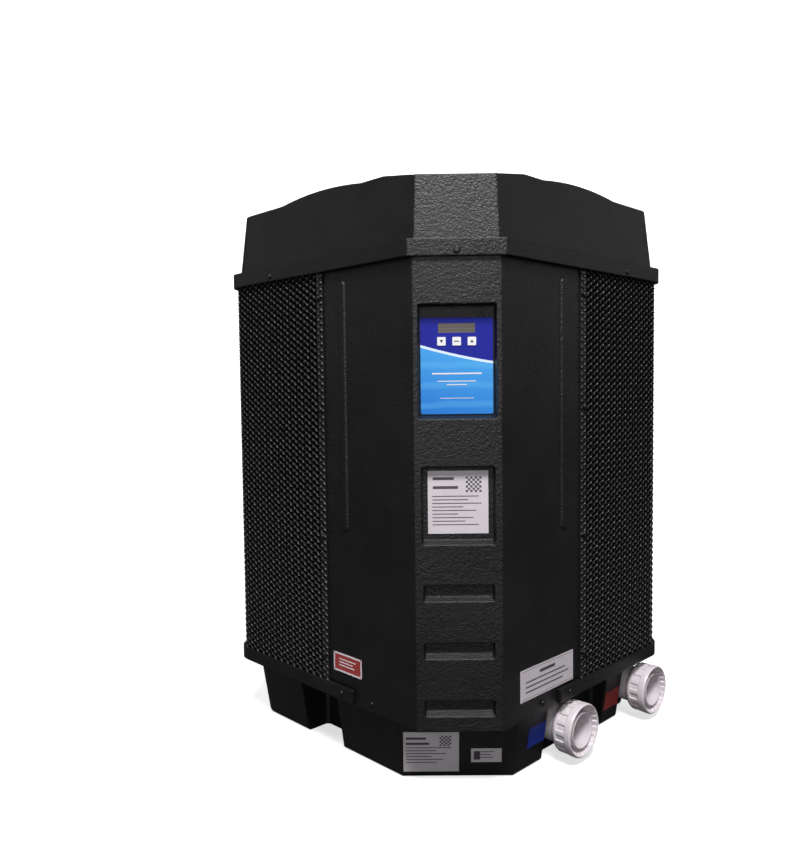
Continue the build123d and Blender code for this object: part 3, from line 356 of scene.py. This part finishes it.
def knuckle_highlight_paint():
    """Each crossing is painted pale grey: mostly a painted highlight, mottled, with some wear from rubbing
    and dust.
    """
    material, shader = new_material("mesh_knuckles_painted_highlight")
    place = add(material, "TexCoord").outputs["Object"]
    rub_and_sheen = add(material, "TexNoise", Vector=place, Scale=75.0, Detail=3.0)
    # Painted highlight: the noise mottles each crossing from dark grey to pale grey.
    tint = add(material, "ValToRGB", None, Fac=rub_and_sheen.outputs["Fac"])
    tint.color_ramp.elements[0].position = 0.3
    tint.color_ramp.elements[0].color = linear("#3a373b")
    tint.color_ramp.elements[1].position = 0.7
    tint.color_ramp.elements[1].color = linear("#aaa2a8")
    bump = add(material, "Bump", Strength=0.2, Distance=0.0003, Height=rub_and_sheen.outputs["Fac"])
    material.node_tree.links.new(tint.outputs["Color"], shader.inputs["Base Color"])
    material.node_tree.links.new(bump.outputs[0], shader.inputs["Normal"])
    shader.inputs["Roughness"].default_value = 0.42
    return material


def knuckles(node, side, material):
    """A small swelling on the outer strand at every crossing, a lozenge with a raised middle."""
    foot, rows, step = mesh_rows(node)
    bm = bmesh.new()
    for column, (place, normal) in enumerate(guard_route(side)):
        across = Vector((0, 0, 1)).cross(normal)
        for row in range(column % 2, rows + 1, 2):
            base = place + normal * (KNUCKLE + NUB_SEAT) + Vector((0, 0, foot + row * step))
            tilt = (1 if column % 2 else -1) * NUB_H
            rim = [across * NUB_W + Vector((0, 0, tilt)), Vector((0, 0, NUB_H)),
                   -across * NUB_W - Vector((0, 0, tilt)), Vector((0, 0, -NUB_H))]
            points = [bm.verts.new(base + offset) for offset in rim]
            peak = bm.verts.new(base + normal * NUB_RISE)
            for k in range(4):
                bm.faces.new((points[k], points[(k + 1) % 4], peak))
            bm.faces.new(points)
    return mesh_piece(node + "_knuckles", bm, material)


wire = coated_wire()
# Pale grey paint for the knuckles: a painted highlight, with some wear.
painted_knuckle_highlight = knuckle_highlight_paint()
for node, side in (("left_guard", -1), ("right_guard", 1)):
    guard_mesh = diamond_mesh(node, side, wire)
    nubs = knuckles(node, side, painted_knuckle_highlight)
    for piece in (guard_mesh, nubs):
        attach(piece, "cabinet")
    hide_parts(node)


# ---- Evaporator coil ----
# Copper hairpins through a pack of thin aluminium fins. From outside only the dark fin edges
# and the rows of tubes show through the mesh.
FIN_PITCH = 0.0032
TUBE_ROW = 0.0254


def fin_pack():
    """Aluminium fin edges: fine upright dull lines, near black, with painted shade in their gaps and a
    darker row at each tube.
    """
    material, shader = new_material("aluminium_fin_pack")
    links = material.node_tree.links
    place = add(material, "TexCoord").outputs["Object"]
    axes = add(material, "SeparateXYZ", None, Vector=place)
    plan_run = add(material, "Math", {"operation": "ADD"}, _0=axes.outputs["X"], _1=axes.outputs["Y"])
    fins = add(material, "Math", {"operation": "PINGPONG"}, _0=plan_run.outputs[0], _1=FIN_PITCH / 2)
    fin = add(material, "MapRange", None, Value=fins.outputs[0], From_Max=FIN_PITCH / 2)
    rows = add(material, "Math", {"operation": "PINGPONG"}, _0=axes.outputs["Z"], _1=TUBE_ROW / 2)
    row = add(material, "MapRange", None, Value=rows.outputs[0], From_Max=TUBE_ROW / 2, To_Min=0.3)
    # Painted shade: darkest in the gaps between fin edges; the colour also darkens along each tube row.
    both = add(material, "Math", {"operation": "MULTIPLY"}, _0=fin.outputs[0], _1=row.outputs[0])
    tint = add(material, "ValToRGB", None, Fac=both.outputs[0])
    tint.color_ramp.elements[0].color = linear("#08080a")
    tint.color_ramp.elements[1].color = linear("#141315")
    bump = add(material, "Bump", Strength=0.6, Distance=0.001, Height=fin.outputs[0])
    links.new(tint.outputs["Color"], shader.inputs["Base Color"])
    links.new(bump.outputs[0], shader.inputs["Normal"])
    shader.inputs["Metallic"].default_value = 0.4
    shader.inputs["Roughness"].default_value = 0.5
    return material


dress(fin_pack(), "evaporator_coil")


# ---- Control face, display and keys ----
# A printed polyester overlay on a flat plate: navy above, a pale sweep, and sky blue below.
# The display sits behind a window in it, and three white keycaps come through it.
STRIPE_LEFT_Z = 0.8215   # height of the stripe at the overlay's left edge
STRIPE_SLOPE = -0.30
STRIPE_BEND = 0.54
STRIPE_T = 0.0045
SKY_FADE = 0.12          # over how far below the stripe the blue deepens
SWELL_SCALE = 9.0
CELL_PITCH = 0.0037      # width and height of one character's place on the display
CELL_TALL = 0.0062
CELL_GAP = 0.0004
MARK_T = 0.0003


def printed_overlay():
    """Screen-printed polyester: flat bright inks under a satin film that shows faint orange peel."""
    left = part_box("control_face")[0].x
    material, shader = new_material("printed_polyester_overlay")
    links = material.node_tree.links
    place = add(material, "TexCoord").outputs["Object"]
    axes = add(material, "SeparateXYZ", None, Vector=place)
    run = add(material, "Math", {"operation": "SUBTRACT"}, _0=axes.outputs["X"], _1=left)
    fall = add(material, "Math", {"operation": "MULTIPLY"}, _0=run.outputs[0], _1=STRIPE_SLOPE)
    bend = add(material, "Math", {"operation": "MULTIPLY"}, _0=run.outputs[0], _1=run.outputs[0])
    sag = add(material, "Math", {"operation": "MULTIPLY_ADD"}, _0=bend.outputs[0], _1=STRIPE_BEND,
              _2=STRIPE_LEFT_Z)
    line = add(material, "Math", {"operation": "ADD"}, _0=fall.outputs[0], _1=sag.outputs[0])
    above = add(material, "Math", {"operation": "SUBTRACT"}, _0=axes.outputs["Z"], _1=line.outputs[0])
    depth = add(material, "MapRange", None, Value=above.outputs[0], From_Min=-SKY_FADE, From_Max=0.0)
    sky = add(material, "ValToRGB", None, Fac=depth.outputs[0])
    sky.color_ramp.elements[0].color = linear("#2578d4")
    sky.color_ramp.elements[1].color = linear("#48a4ea")
    swell = add(material, "TexWave", {"bands_direction": "Z"}, Vector=place, Scale=SWELL_SCALE,
                Distortion=2.0, Detail=1.0)
    soft = add(material, "MapRange", None, Value=swell.outputs["Fac"], From_Min=0.6, To_Max=0.28)
    swells = add(material, "Mix", {"data_type": "RGBA"}, _0=soft.outputs[0],
                 _6=sky.outputs["Color"], _7=linear("#6cc0f2"))
    is_navy = add(material, "Math", {"operation": "GREATER_THAN"}, _0=above.outputs[0], _1=0.0)
    inks = add(material, "Mix", {"data_type": "RGBA"}, Factor=is_navy.outputs[0],
               _6=swells.outputs[2], _7=linear("#1c2496"))
    near = add(material, "Math", {"operation": "COMPARE"}, _0=above.outputs[0], _1=-STRIPE_T / 2,
               _2=STRIPE_T / 2)
    all_inks = add(material, "Mix", {"data_type": "RGBA"}, Factor=near.outputs[0],
                   _6=inks.outputs[2], _7=linear("#dfeefc"))
    peel = add(material, "TexNoise", Vector=place, Scale=700.0)
    bump = add(material, "Bump", Strength=0.15, Distance=0.0002, Height=peel.outputs["Fac"])
    links.new(all_inks.outputs[2], shader.inputs["Base Color"])
    links.new(bump.outputs[0], shader.inputs["Normal"])
    shader.inputs["Roughness"].default_value = 0.55
    shader.inputs["Specular IOR Level"].default_value = 0.2
    return material


def turned_upright(material, place):
    """The pattern's x and y laid along the unit's x and z."""
    axes = add(material, "SeparateXYZ", None, Vector=place)
    flat = add(material, "CombineXYZ", None, X=axes.outputs["X"], Y=axes.outputs["Z"])
    return flat.outputs[0]


def display_glass():
    """A switched-off character display: warm grey polariser with its empty cells just visible."""
    material, shader = new_material("reflective_lcd")
    place = turned_upright(material, add(material, "TexCoord").outputs["Object"])
    cells = add(material, "TexBrick", {"offset": 0.0}, Vector=place, Scale=1.0, Brick_Width=CELL_PITCH,
                Row_Height=CELL_TALL, Mortar_Size=CELL_GAP, Color1=linear("#57504c"),
                Color2=linear("#4e4744"), Mortar=linear("#6b635e"))
    material.node_tree.links.new(cells.outputs["Color"], shader.inputs["Base Color"])
    shader.inputs["Roughness"].default_value = 0.45
    return material


def gloss_plastic(name, colour, speck, roughness):
    """Moulded gloss plastic: clean colour with a faint flow mottle."""
    material, shader = new_material(name)
    place = add(material, "TexCoord").outputs["Object"]
    mottle = add(material, "TexNoise", Vector=place, Scale=45.0, Detail=4.0)
    tint = add(material, "ValToRGB", None, Fac=mottle.outputs["Fac"])
    tint.color_ramp.elements[0].color = linear(colour)
    tint.color_ramp.elements[1].color = linear(speck)
    grain = add(material, "TexNoise", Vector=place, Scale=900.0)
    bump = add(material, "Bump", Strength=0.1, Distance=0.0002, Height=grain.outputs["Fac"])
    material.node_tree.links.new(tint.outputs["Color"], shader.inputs["Base Color"])
    material.node_tree.links.new(bump.outputs[0], shader.inputs["Normal"])
    shader.inputs["Roughness"].default_value = roughness
    return material


def prism(bm, outline, thick):
    """Raise a flat outline of points in x and y by a thickness in z."""
    low = [bm.verts.new((x, y, 0)) for x, y in outline]
    high = [bm.verts.new((x, y, thick)) for x, y in outline]
    count = len(outline)
    bm.faces.new(low)
    bm.faces.new(high)
    for k in range(count):
        bm.faces.new((low[k], low[(k + 1) % count], high[(k + 1) % count], high[k]))


def rectangle(x, y, wide, high):
    return [(x, y), (x + wide, y), (x + wide, y + high), (x, y + high)]


def key_mark(node, outline, ink):
    """The arrow or bar printed on a keycap."""
    low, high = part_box(node)
    bm = bmesh.new()
    prism(bm, outline, MARK_T)
    turn = Matrix.Rotation(math.radians(90), 4, "X")
    bmesh.ops.transform(bm, matrix=turn, verts=bm.verts)
    middle = Vector(((low.x + high.x) / 2, low.y, (low.z + high.z) / 2))
    bmesh.ops.translate(bm, vec=middle, verts=bm.verts)
    return mesh_piece(node + "_mark", bm, ink)


dress(printed_overlay(), "control_face")
dress(display_glass(), "lcd_window")
keycap = gloss_plastic("white_abs_keycap", "#e9e7ea", "#f4f3f5", 0.35)
dress(keycap, "button_down", "button_mode", "button_up")
black_ink = gloss_plastic("black_pad_print", "#141414", "#1c1c1c", 0.5)
ARROW = 0.0030
MODE_BAR_W = 0.0092
MODE_BAR_T = 0.0014
arrow_down = [(-ARROW, ARROW * 0.8), (ARROW, ARROW * 0.8), (0, -ARROW)]
arrow_up = [(x, -y) for x, y in arrow_down]
mode_bar = rectangle(-MODE_BAR_W / 2, -MODE_BAR_T / 2, MODE_BAR_W, MODE_BAR_T)
for node, body, outline in (("button_down", "key_down", arrow_down), ("button_mode", "key_mode", mode_bar),
                            ("button_up", "key_up", arrow_up)):
    mark = key_mark(node, outline, black_ink)
    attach(mark, body)


# ---- Labels ----
# White vinyl labels with generic ruled lines and plain blocks, a red sticker with a white
# border, and a blue and a red tag beside the unions.
LINE_T = 0.00012
VINYL_T = 0.0004
HATCH_FILL = 0.98        # so that the blocks of a checked square don't meet at their corners


def vinyl(name, colour, speck):
    """Printed vinyl: slightly uneven white, satin, with a faint ripple where it was smoothed on."""
    material, shader = new_material(name)
    place = add(material, "TexCoord").outputs["Object"]
    ripple = add(material, "TexNoise", Vector=place, Scale=30.0, Detail=3.0)
    tint = add(material, "ValToRGB", None, Fac=ripple.outputs["Fac"])
    tint.color_ramp.elements[0].color = linear(colour)
    tint.color_ramp.elements[1].color = linear(speck)
    bump = add(material, "Bump", Strength=0.2, Distance=0.0006, Height=ripple.outputs["Fac"])
    material.node_tree.links.new(tint.outputs["Color"], shader.inputs["Base Color"])
    material.node_tree.links.new(bump.outputs[0], shader.inputs["Normal"])
    shader.inputs["Roughness"].default_value = 0.45
    return material


def print_on(name, place, right, up, outlines, ink):
    """Thin printed marks on a label: place is its middle, right and up its directions."""
    bm = bmesh.new()
    for outline in outlines:
        prism(bm, outline, LINE_T)
    right = Vector(right).normalized()
    up = Vector(up).normalized()
    out = right.cross(up)
    turn = Matrix((right, up, out)).transposed().to_4x4()
    bmesh.ops.transform(bm, matrix=Matrix.Translation(Vector(place)) @ turn, verts=bm.verts)
    marks = mesh_piece(name, bm, ink)
    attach(marks, "cabinet")


def ruled_lines(wide, top, gap, lengths, thick):
    """Rows of line blocks, from the top down, left aligned; lengths are shares of the width."""
    return [rectangle(-wide / 2, top - i * gap, wide * length, thick) for i, length in enumerate(lengths)]


def hatch_square(x, y, size, cells):
    """A plain checked square."""
    step = size / cells
    block = step * HATCH_FILL
    return [rectangle(x + i * step, y + j * step, block, block)
            for i in range(cells) for j in range(cells) if (i + j) % 2 == 0]


white_vinyl = vinyl("white_vinyl", "#cfc7cd", "#ddd6db")
dress(white_vinyl, "rating_labels", "notice_label")
dress(vinyl("red_vinyl", "#9c2f30", "#b04a46"), "warning_sticker", "outlet_tag")
dress(vinyl("blue_vinyl", "#16269a", "#2c49b0"), "inlet_tag")
grey_ink = gloss_plastic("grey_label_ink", "#45404a", "#56505a", 0.6)
pale_ink = gloss_plastic("white_label_ink", "#e6dfe4", "#efe9ee", 0.5)

LABEL_POCKET_DEEP = 0.014
LABEL_Z = 0.541
label_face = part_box("front_panel")[0].y + LABEL_POCKET_DEEP - VINYL_T
label_marks = ruled_lines(0.09, 0.040, 0.016, (0.42, 0.5), 0.005)
label_marks += ruled_lines(0.092, 0.010, 0.0064, (0.9, 0.7, 0.95, 0.6, 0.85, 0.5, 0.8, 0.64, 0.9), 0.0016)
label_marks += hatch_square(0.014, 0.018, 0.028, 7)
print_on("panel_label_print", (0, label_face, LABEL_Z), (1, 0, 0), (0, 0, 1), label_marks, grey_ink)

PLINTH_FACE_Y = -0.3234  # the plinth's front at the floor; it leans out as it rises
PLINTH_LEAN = 0.020 / 0.131
PRINT_CLEAR = 0.0006
base_up = (0, -PLINTH_LEAN, 1)
base_marks = ruled_lines(0.096, 0.026, 0.011, (0.4, 0.46), 0.0045)
base_marks += ruled_lines(0.096, 0.008, 0.0062, (0.9, 0.6, 0.8, 0.5, 0.74, 0.62), 0.0015)
base_marks += hatch_square(0.016, 0.012, 0.022, 6)
tag_marks = [rectangle(-0.024, -0.009, 0.012, 0.018)]
tag_marks += ruled_lines(0.03, 0.007, 0.006, (1.0, 0.8, 0.9), 0.0014)
for name, x, z, marks in (("base_label_print", -0.051, 0.054, base_marks),
                          ("base_tag_print", 0.054, 0.046, tag_marks)):
    face = (x, PLINTH_FACE_Y - PLINTH_LEAN * z - PRINT_CLEAR, z)
    print_on(name, face, (1, 0, 0), base_up, marks, grey_ink)

OVERLAY_PRINT_Z = 0.756
OVERLAY_CLEAR = 0.0001
overlay_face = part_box("control_face")[0].y - OVERLAY_CLEAR
overlay_marks = [rectangle(-0.034, 0.0, 0.068, 0.0016), rectangle(-0.018, -0.0062, 0.036, 0.0016)]
overlay_marks += [rectangle(-0.044, 0.013, 0.088, 0.0026), rectangle(-0.030, -0.030, 0.060, 0.0010)]
print_on("overlay_print", (0, overlay_face, OVERLAY_PRINT_Z), (1, 0, 0), (0, 0, 1), overlay_marks,
         pale_ink)

STICKER_CLEAR = 0.0002
notice_low, notice_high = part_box("notice_label")
notice_out = Vector((1, -1, 0)).normalized()
notice_face = (notice_low + notice_high) / 2 + notice_out * STICKER_CLEAR
notice_marks = [rectangle(-0.026, 0.013, 0.05, 0.006)]
notice_marks += ruled_lines(0.14, 0.003, 0.0095, (0.92, 1.0, 0.86), 0.0026)
notice_marks += [rectangle(-0.082, 0.0262, 0.164, 0.0007), rectangle(-0.082, -0.0268, 0.164, 0.0007)]
print_on("notice_label_print", notice_face, (1, 1, 0), (0, 0, 1), notice_marks, grey_ink)

BORDER_W, BORDER_H, BORDER_T = 0.084, 0.038, 0.0035
sticker_low, sticker_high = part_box("warning_sticker")
sticker_out = Vector((-1, -1, 0)).normalized()
sticker_face = (sticker_low + sticker_high) / 2 + sticker_out * STICKER_CLEAR
border = [rectangle(-BORDER_W / 2, BORDER_H / 2 - BORDER_T, BORDER_W, BORDER_T)]
border += [rectangle(-BORDER_W / 2, -BORDER_H / 2, BORDER_W, BORDER_T)]
border += [rectangle(-BORDER_W / 2, -BORDER_H / 2, BORDER_T, BORDER_H)]
border += [rectangle(BORDER_W / 2 - BORDER_T, -BORDER_H / 2, BORDER_T, BORDER_H)]
border += ruled_lines(0.05, 0.006, 0.0062, (1.0, 0.8, 0.9), 0.0022)
print_on("warning_sticker_print", sticker_face, (1, -1, 0), (0, 0, 1), border, pale_ink)


# ---- Unions and water pipes ----
# Injection-moulded white PVC: tail glued to the pipe, a hand nut with moulded grips, and an end
# connector with a 2-inch socket. Fresh PVC is bright with a soft gloss and a slight warm cast.
NUT_STEPS = 192
GRIPS = 16
GRIP_DEEP = 0.0026
GRIP_SHARE = 0.58        # of each grip's pitch, how much is the hollow
MOUTH_RIBS = 24
RIB_DEEP = 0.0016
RIB_SHARE = 0.4
NUT_LIP = 0.0042
NUT_CLEAR = 0.0006       # between the nut and the end connector inside it
COLLAR_STEP = 0.0055
SIDE_STEP = 0.0008
GRIP_RAMP = 0.002
BACK_BAND = 0.010        # plain band behind the grips
MOUTH_BAND = 0.013       # plain band in front of them
BOWL_FROM, BOWL_TO, BOWL_FLOOR = 0.34, 0.40, 0.42    # how deep the mouth goes, as shares of the nut


def nut_profile(start, stop, outer, bore):
    """Points of (radius, out, grip, rib) round the nut's section; grip and rib are how far each gives."""
    long = stop - start
    side = outer - SIDE_STEP
    waist = outer - SIDE_STEP * 0.75
    grip_end = stop - MOUTH_BAND - GRIP_RAMP
    mouth = outer - NUT_LIP
    return [(bore, start, 0, 0), (outer - COLLAR_STEP, start, 0, 0), (outer - 0.0022, start + 0.004, 0, 0),
            (side, start + 0.007, 0, 0), (side, start + BACK_BAND, 0, 0),
            (side, start + BACK_BAND + GRIP_RAMP, 1, 0), (waist, grip_end - GRIP_RAMP, 1, 0),
            (waist, grip_end, 0, 0), (outer, stop - MOUTH_BAND, 0, 0), (outer, stop - 0.004, 0, 0),
            (outer - 0.0012, stop - 0.001, 0, 0), (outer - 0.0025, stop, 0, 0), (mouth, stop - 0.001, 0, 0),
            (mouth - 0.001, stop - 0.004, 0, 1), (mouth - 0.007, stop - long * BOWL_FROM, 0, 1),
            (mouth - 0.009, stop - long * BOWL_TO, 0, 0), (bore, stop - long * BOWL_FLOOR, 0, 0)]


def hand_nut(node, connector, material):
    """A ring lathed about the union's axis, with grips cut round its side and ribs down its mouth."""
    low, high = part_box(node)
    axis = Vector((1, -1, 0)).normalized()
    centre = (low + high) / 2
    upright = Vector((0, 0, 1))
    level = upright.cross(axis)
    outer = (high.z - low.z) / 2
    half_long = (high.x - low.x - outer * math.sqrt(2)) / math.sqrt(2)
    inner_low, inner_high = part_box(connector)
    bore = (inner_high.z - inner_low.z) / 2 + NUT_CLEAR
    profile = nut_profile(-half_long, half_long, outer, bore)
    bm = bmesh.new()
    rings = []
    for i in range(NUT_STEPS):
        turn = 2 * math.pi * i / NUT_STEPS
        in_grip = (i * GRIPS / NUT_STEPS) % 1 < GRIP_SHARE
        in_rib = (i * MOUTH_RIBS / NUT_STEPS) % 1 < RIB_SHARE
        spoke = level * math.cos(turn) + upright * math.sin(turn)
        ring = []
        for radius, out, grip, rib in profile:
            reach = radius - GRIP_DEEP * grip * in_grip - RIB_DEEP * rib * in_rib
            ring.append(bm.verts.new(centre + axis * out + spoke * reach))
        rings.append(ring)
    count = len(profile)
    for i in range(NUT_STEPS):
        here, there = rings[i], rings[(i + 1) % NUT_STEPS]
        for k in range(count):
            bm.faces.new((here[k], here[(k + 1) % count], there[(k + 1) % count], there[k]))
    return mesh_piece(node + "_moulded", bm, material)


pvc = gloss_plastic("injection_moulded_white_pvc", "#d2c8ce", "#e0d9dd", 0.36)
pvc_shader = pvc.node_tree.nodes["Principled BSDF"]
pvc_shader.inputs["Subsurface Weight"].default_value = 0.05
pvc_shader.inputs["Subsurface Scale"].default_value = 0.002
for port in ("inlet", "outlet"):
    dress(pvc, port + "_pipe", port + "_tail", port + "_connector", port + "_nut")
    nut = hand_nut(port + "_nut", port + "_connector", pvc)
    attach(nut, port + "_ring")
    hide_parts(port + "_nut")


# ---- Fasteners ----
# Steel pan-head screws on cowl, panel, lip and guards, and the compressor's foot bolts. All are
# cold-headed, then blackened in a hot oxide bath.


def blackened_steel():
    """Black oxide: near-black metal with a dull sheen and spots worn by rubbing."""
    material, shader = new_material("black_oxide_steel")
    place = add(material, "TexCoord").outputs["Object"]
    rub_and_sheen = add(material, "TexNoise", Vector=place, Scale=220.0, Detail=3.0)
    tint = add(material, "ValToRGB", None, Fac=rub_and_sheen.outputs["Fac"])
    tint.color_ramp.elements[0].color = linear("#101012")
    tint.color_ramp.elements[1].color = linear("#4a4a4e")
    gloss = add(material, "MapRange", None, Value=rub_and_sheen.outputs["Fac"], To_Min=0.28, To_Max=0.5)
    material.node_tree.links.new(tint.outputs["Color"], shader.inputs["Base Color"])
    material.node_tree.links.new(gloss.outputs[0], shader.inputs["Roughness"])
    shader.inputs["Metallic"].default_value = 0.8
    return material


dress(blackened_steel(), "cowl_screws", "panel_screws", "guard_screws", "compressor_bolts")


# ---- Fan, its guard and motor ----
# A four-blade moulded fan on a cast hub, under a dipped wire guard, driven from below by a
# black enamelled motor on a galvanised mount.


def enamelled(name, colour, speck, roughness):
    """Stoved enamel: even colour with orange peel and a little settled dust."""
    material, shader = new_material(name)
    place = add(material, "TexCoord").outputs["Object"]
    dust = add(material, "TexNoise", Vector=place, Scale=25.0, Detail=5.0)
    tint = add(material, "ValToRGB", None, Fac=dust.outputs["Fac"])
    tint.color_ramp.elements[0].color = linear(colour)
    tint.color_ramp.elements[1].color = linear(speck)
    peel = add(material, "TexNoise", Vector=place, Scale=420.0, Detail=1.0)
    bump = add(material, "Bump", Strength=0.2, Distance=0.0004, Height=peel.outputs["Fac"])
    material.node_tree.links.new(tint.outputs["Color"], shader.inputs["Base Color"])
    material.node_tree.links.new(bump.outputs[0], shader.inputs["Normal"])
    shader.inputs["Roughness"].default_value = roughness
    return material


def bare_metal(name, colour, speck, roughness, scale):
    """Bare metal with the marks of how it was made: spangle, drawing lines or machining."""
    material, shader = new_material(name)
    place = add(material, "TexCoord").outputs["Object"]
    marks = add(material, "TexVoronoi", Vector=place, Scale=scale)
    tint = add(material, "ValToRGB", None, Fac=marks.outputs["Distance"])
    tint.color_ramp.elements[0].color = linear(colour)
    tint.color_ramp.elements[1].color = linear(speck)
    gloss = add(material, "MapRange", None, Value=marks.outputs["Distance"], To_Min=roughness,
                To_Max=roughness + 0.15)
    material.node_tree.links.new(tint.outputs["Color"], shader.inputs["Base Color"])
    material.node_tree.links.new(gloss.outputs[0], shader.inputs["Roughness"])
    shader.inputs["Metallic"].default_value = 1.0
    return material


black_enamel = enamelled("black_stoved_enamel", "#141416", "#262628", 0.4)
nylon = enamelled("glass_filled_nylon", "#1c1c1e", "#303032", 0.55)
cast_aluminium = bare_metal("cast_aluminium", "#9a9b9e", "#c2c3c6", 0.35, 300.0)
galvanised = bare_metal("galvanised_sheet", "#8d9094", "#b4b8bc", 0.38, 110.0)
dress(wire, "fan_guard")
dress(nylon, "fan_blades")
dress(cast_aluminium, "fan_hub")
dress(black_enamel, "fan_motor")
dress(galvanised, "motor_mount")


# ---- Posts and bulkhead ----
# Folded steel sheet screwed up from the base pan. The posts stand right behind the guards'
# edges and get black enamel, so they read dark there; the bulkhead behind the panel is left galvanised.
dress(black_enamel, "left_panel_post", "right_panel_post", "rear_post")
dress(galvanised, "bulkhead")


# ---- Refrigerant and water works ----
# A black enamelled compressor on rubber grommets, drawn copper lines, a brass valve, and a
# titanium water coil in a moulded exchanger shell.
dress(black_enamel, "compressor", "accumulator")
dress(nylon, "terminal_cover")
dress(bare_metal("drawn_copper", "#a5623f", "#c98a63", 0.28, 240.0), "return_bends", "suction_line",
      "discharge_line", "liquid_line", "feed_line", "filter_drier")
dress(bare_metal("machined_brass", "#a98745", "#cdb070", 0.25, 400.0), "expansion_valve")
dress(bare_metal("drawn_titanium", "#7b766f", "#a09a92", 0.32, 200.0), "titanium_coil")
dress(enamelled("nitrile_rubber", "#121212", "#1e1e1e", 0.7), "compressor_grommets", "inlet_oring",
      "outlet_oring")
dress(enamelled("moulded_exchanger_shell", "#26272a", "#343538", 0.45), "exchanger_shell", "exchanger_cap")


# ---- Electrical gear ----
# A galvanised box that holds a phenolic contactor and terminal block, an aluminium-cased
# capacitor, a varnished transformer, and the control board; the display has its own board.
dress(galvanised, "control_box")
dress(cast_aluminium, "capacitor")
dress(enamelled("phenolic_moulding", "#2a2826", "#3a3734", 0.5), "contactor", "terminal_block")
dress(enamelled("varnished_laminations", "#3a2f26", "#54463a", 0.35), "transformer")
dress(enamelled("solder_mask", "#0f4a26", "#1a6436", 0.3), "control_board", "lcd_module")
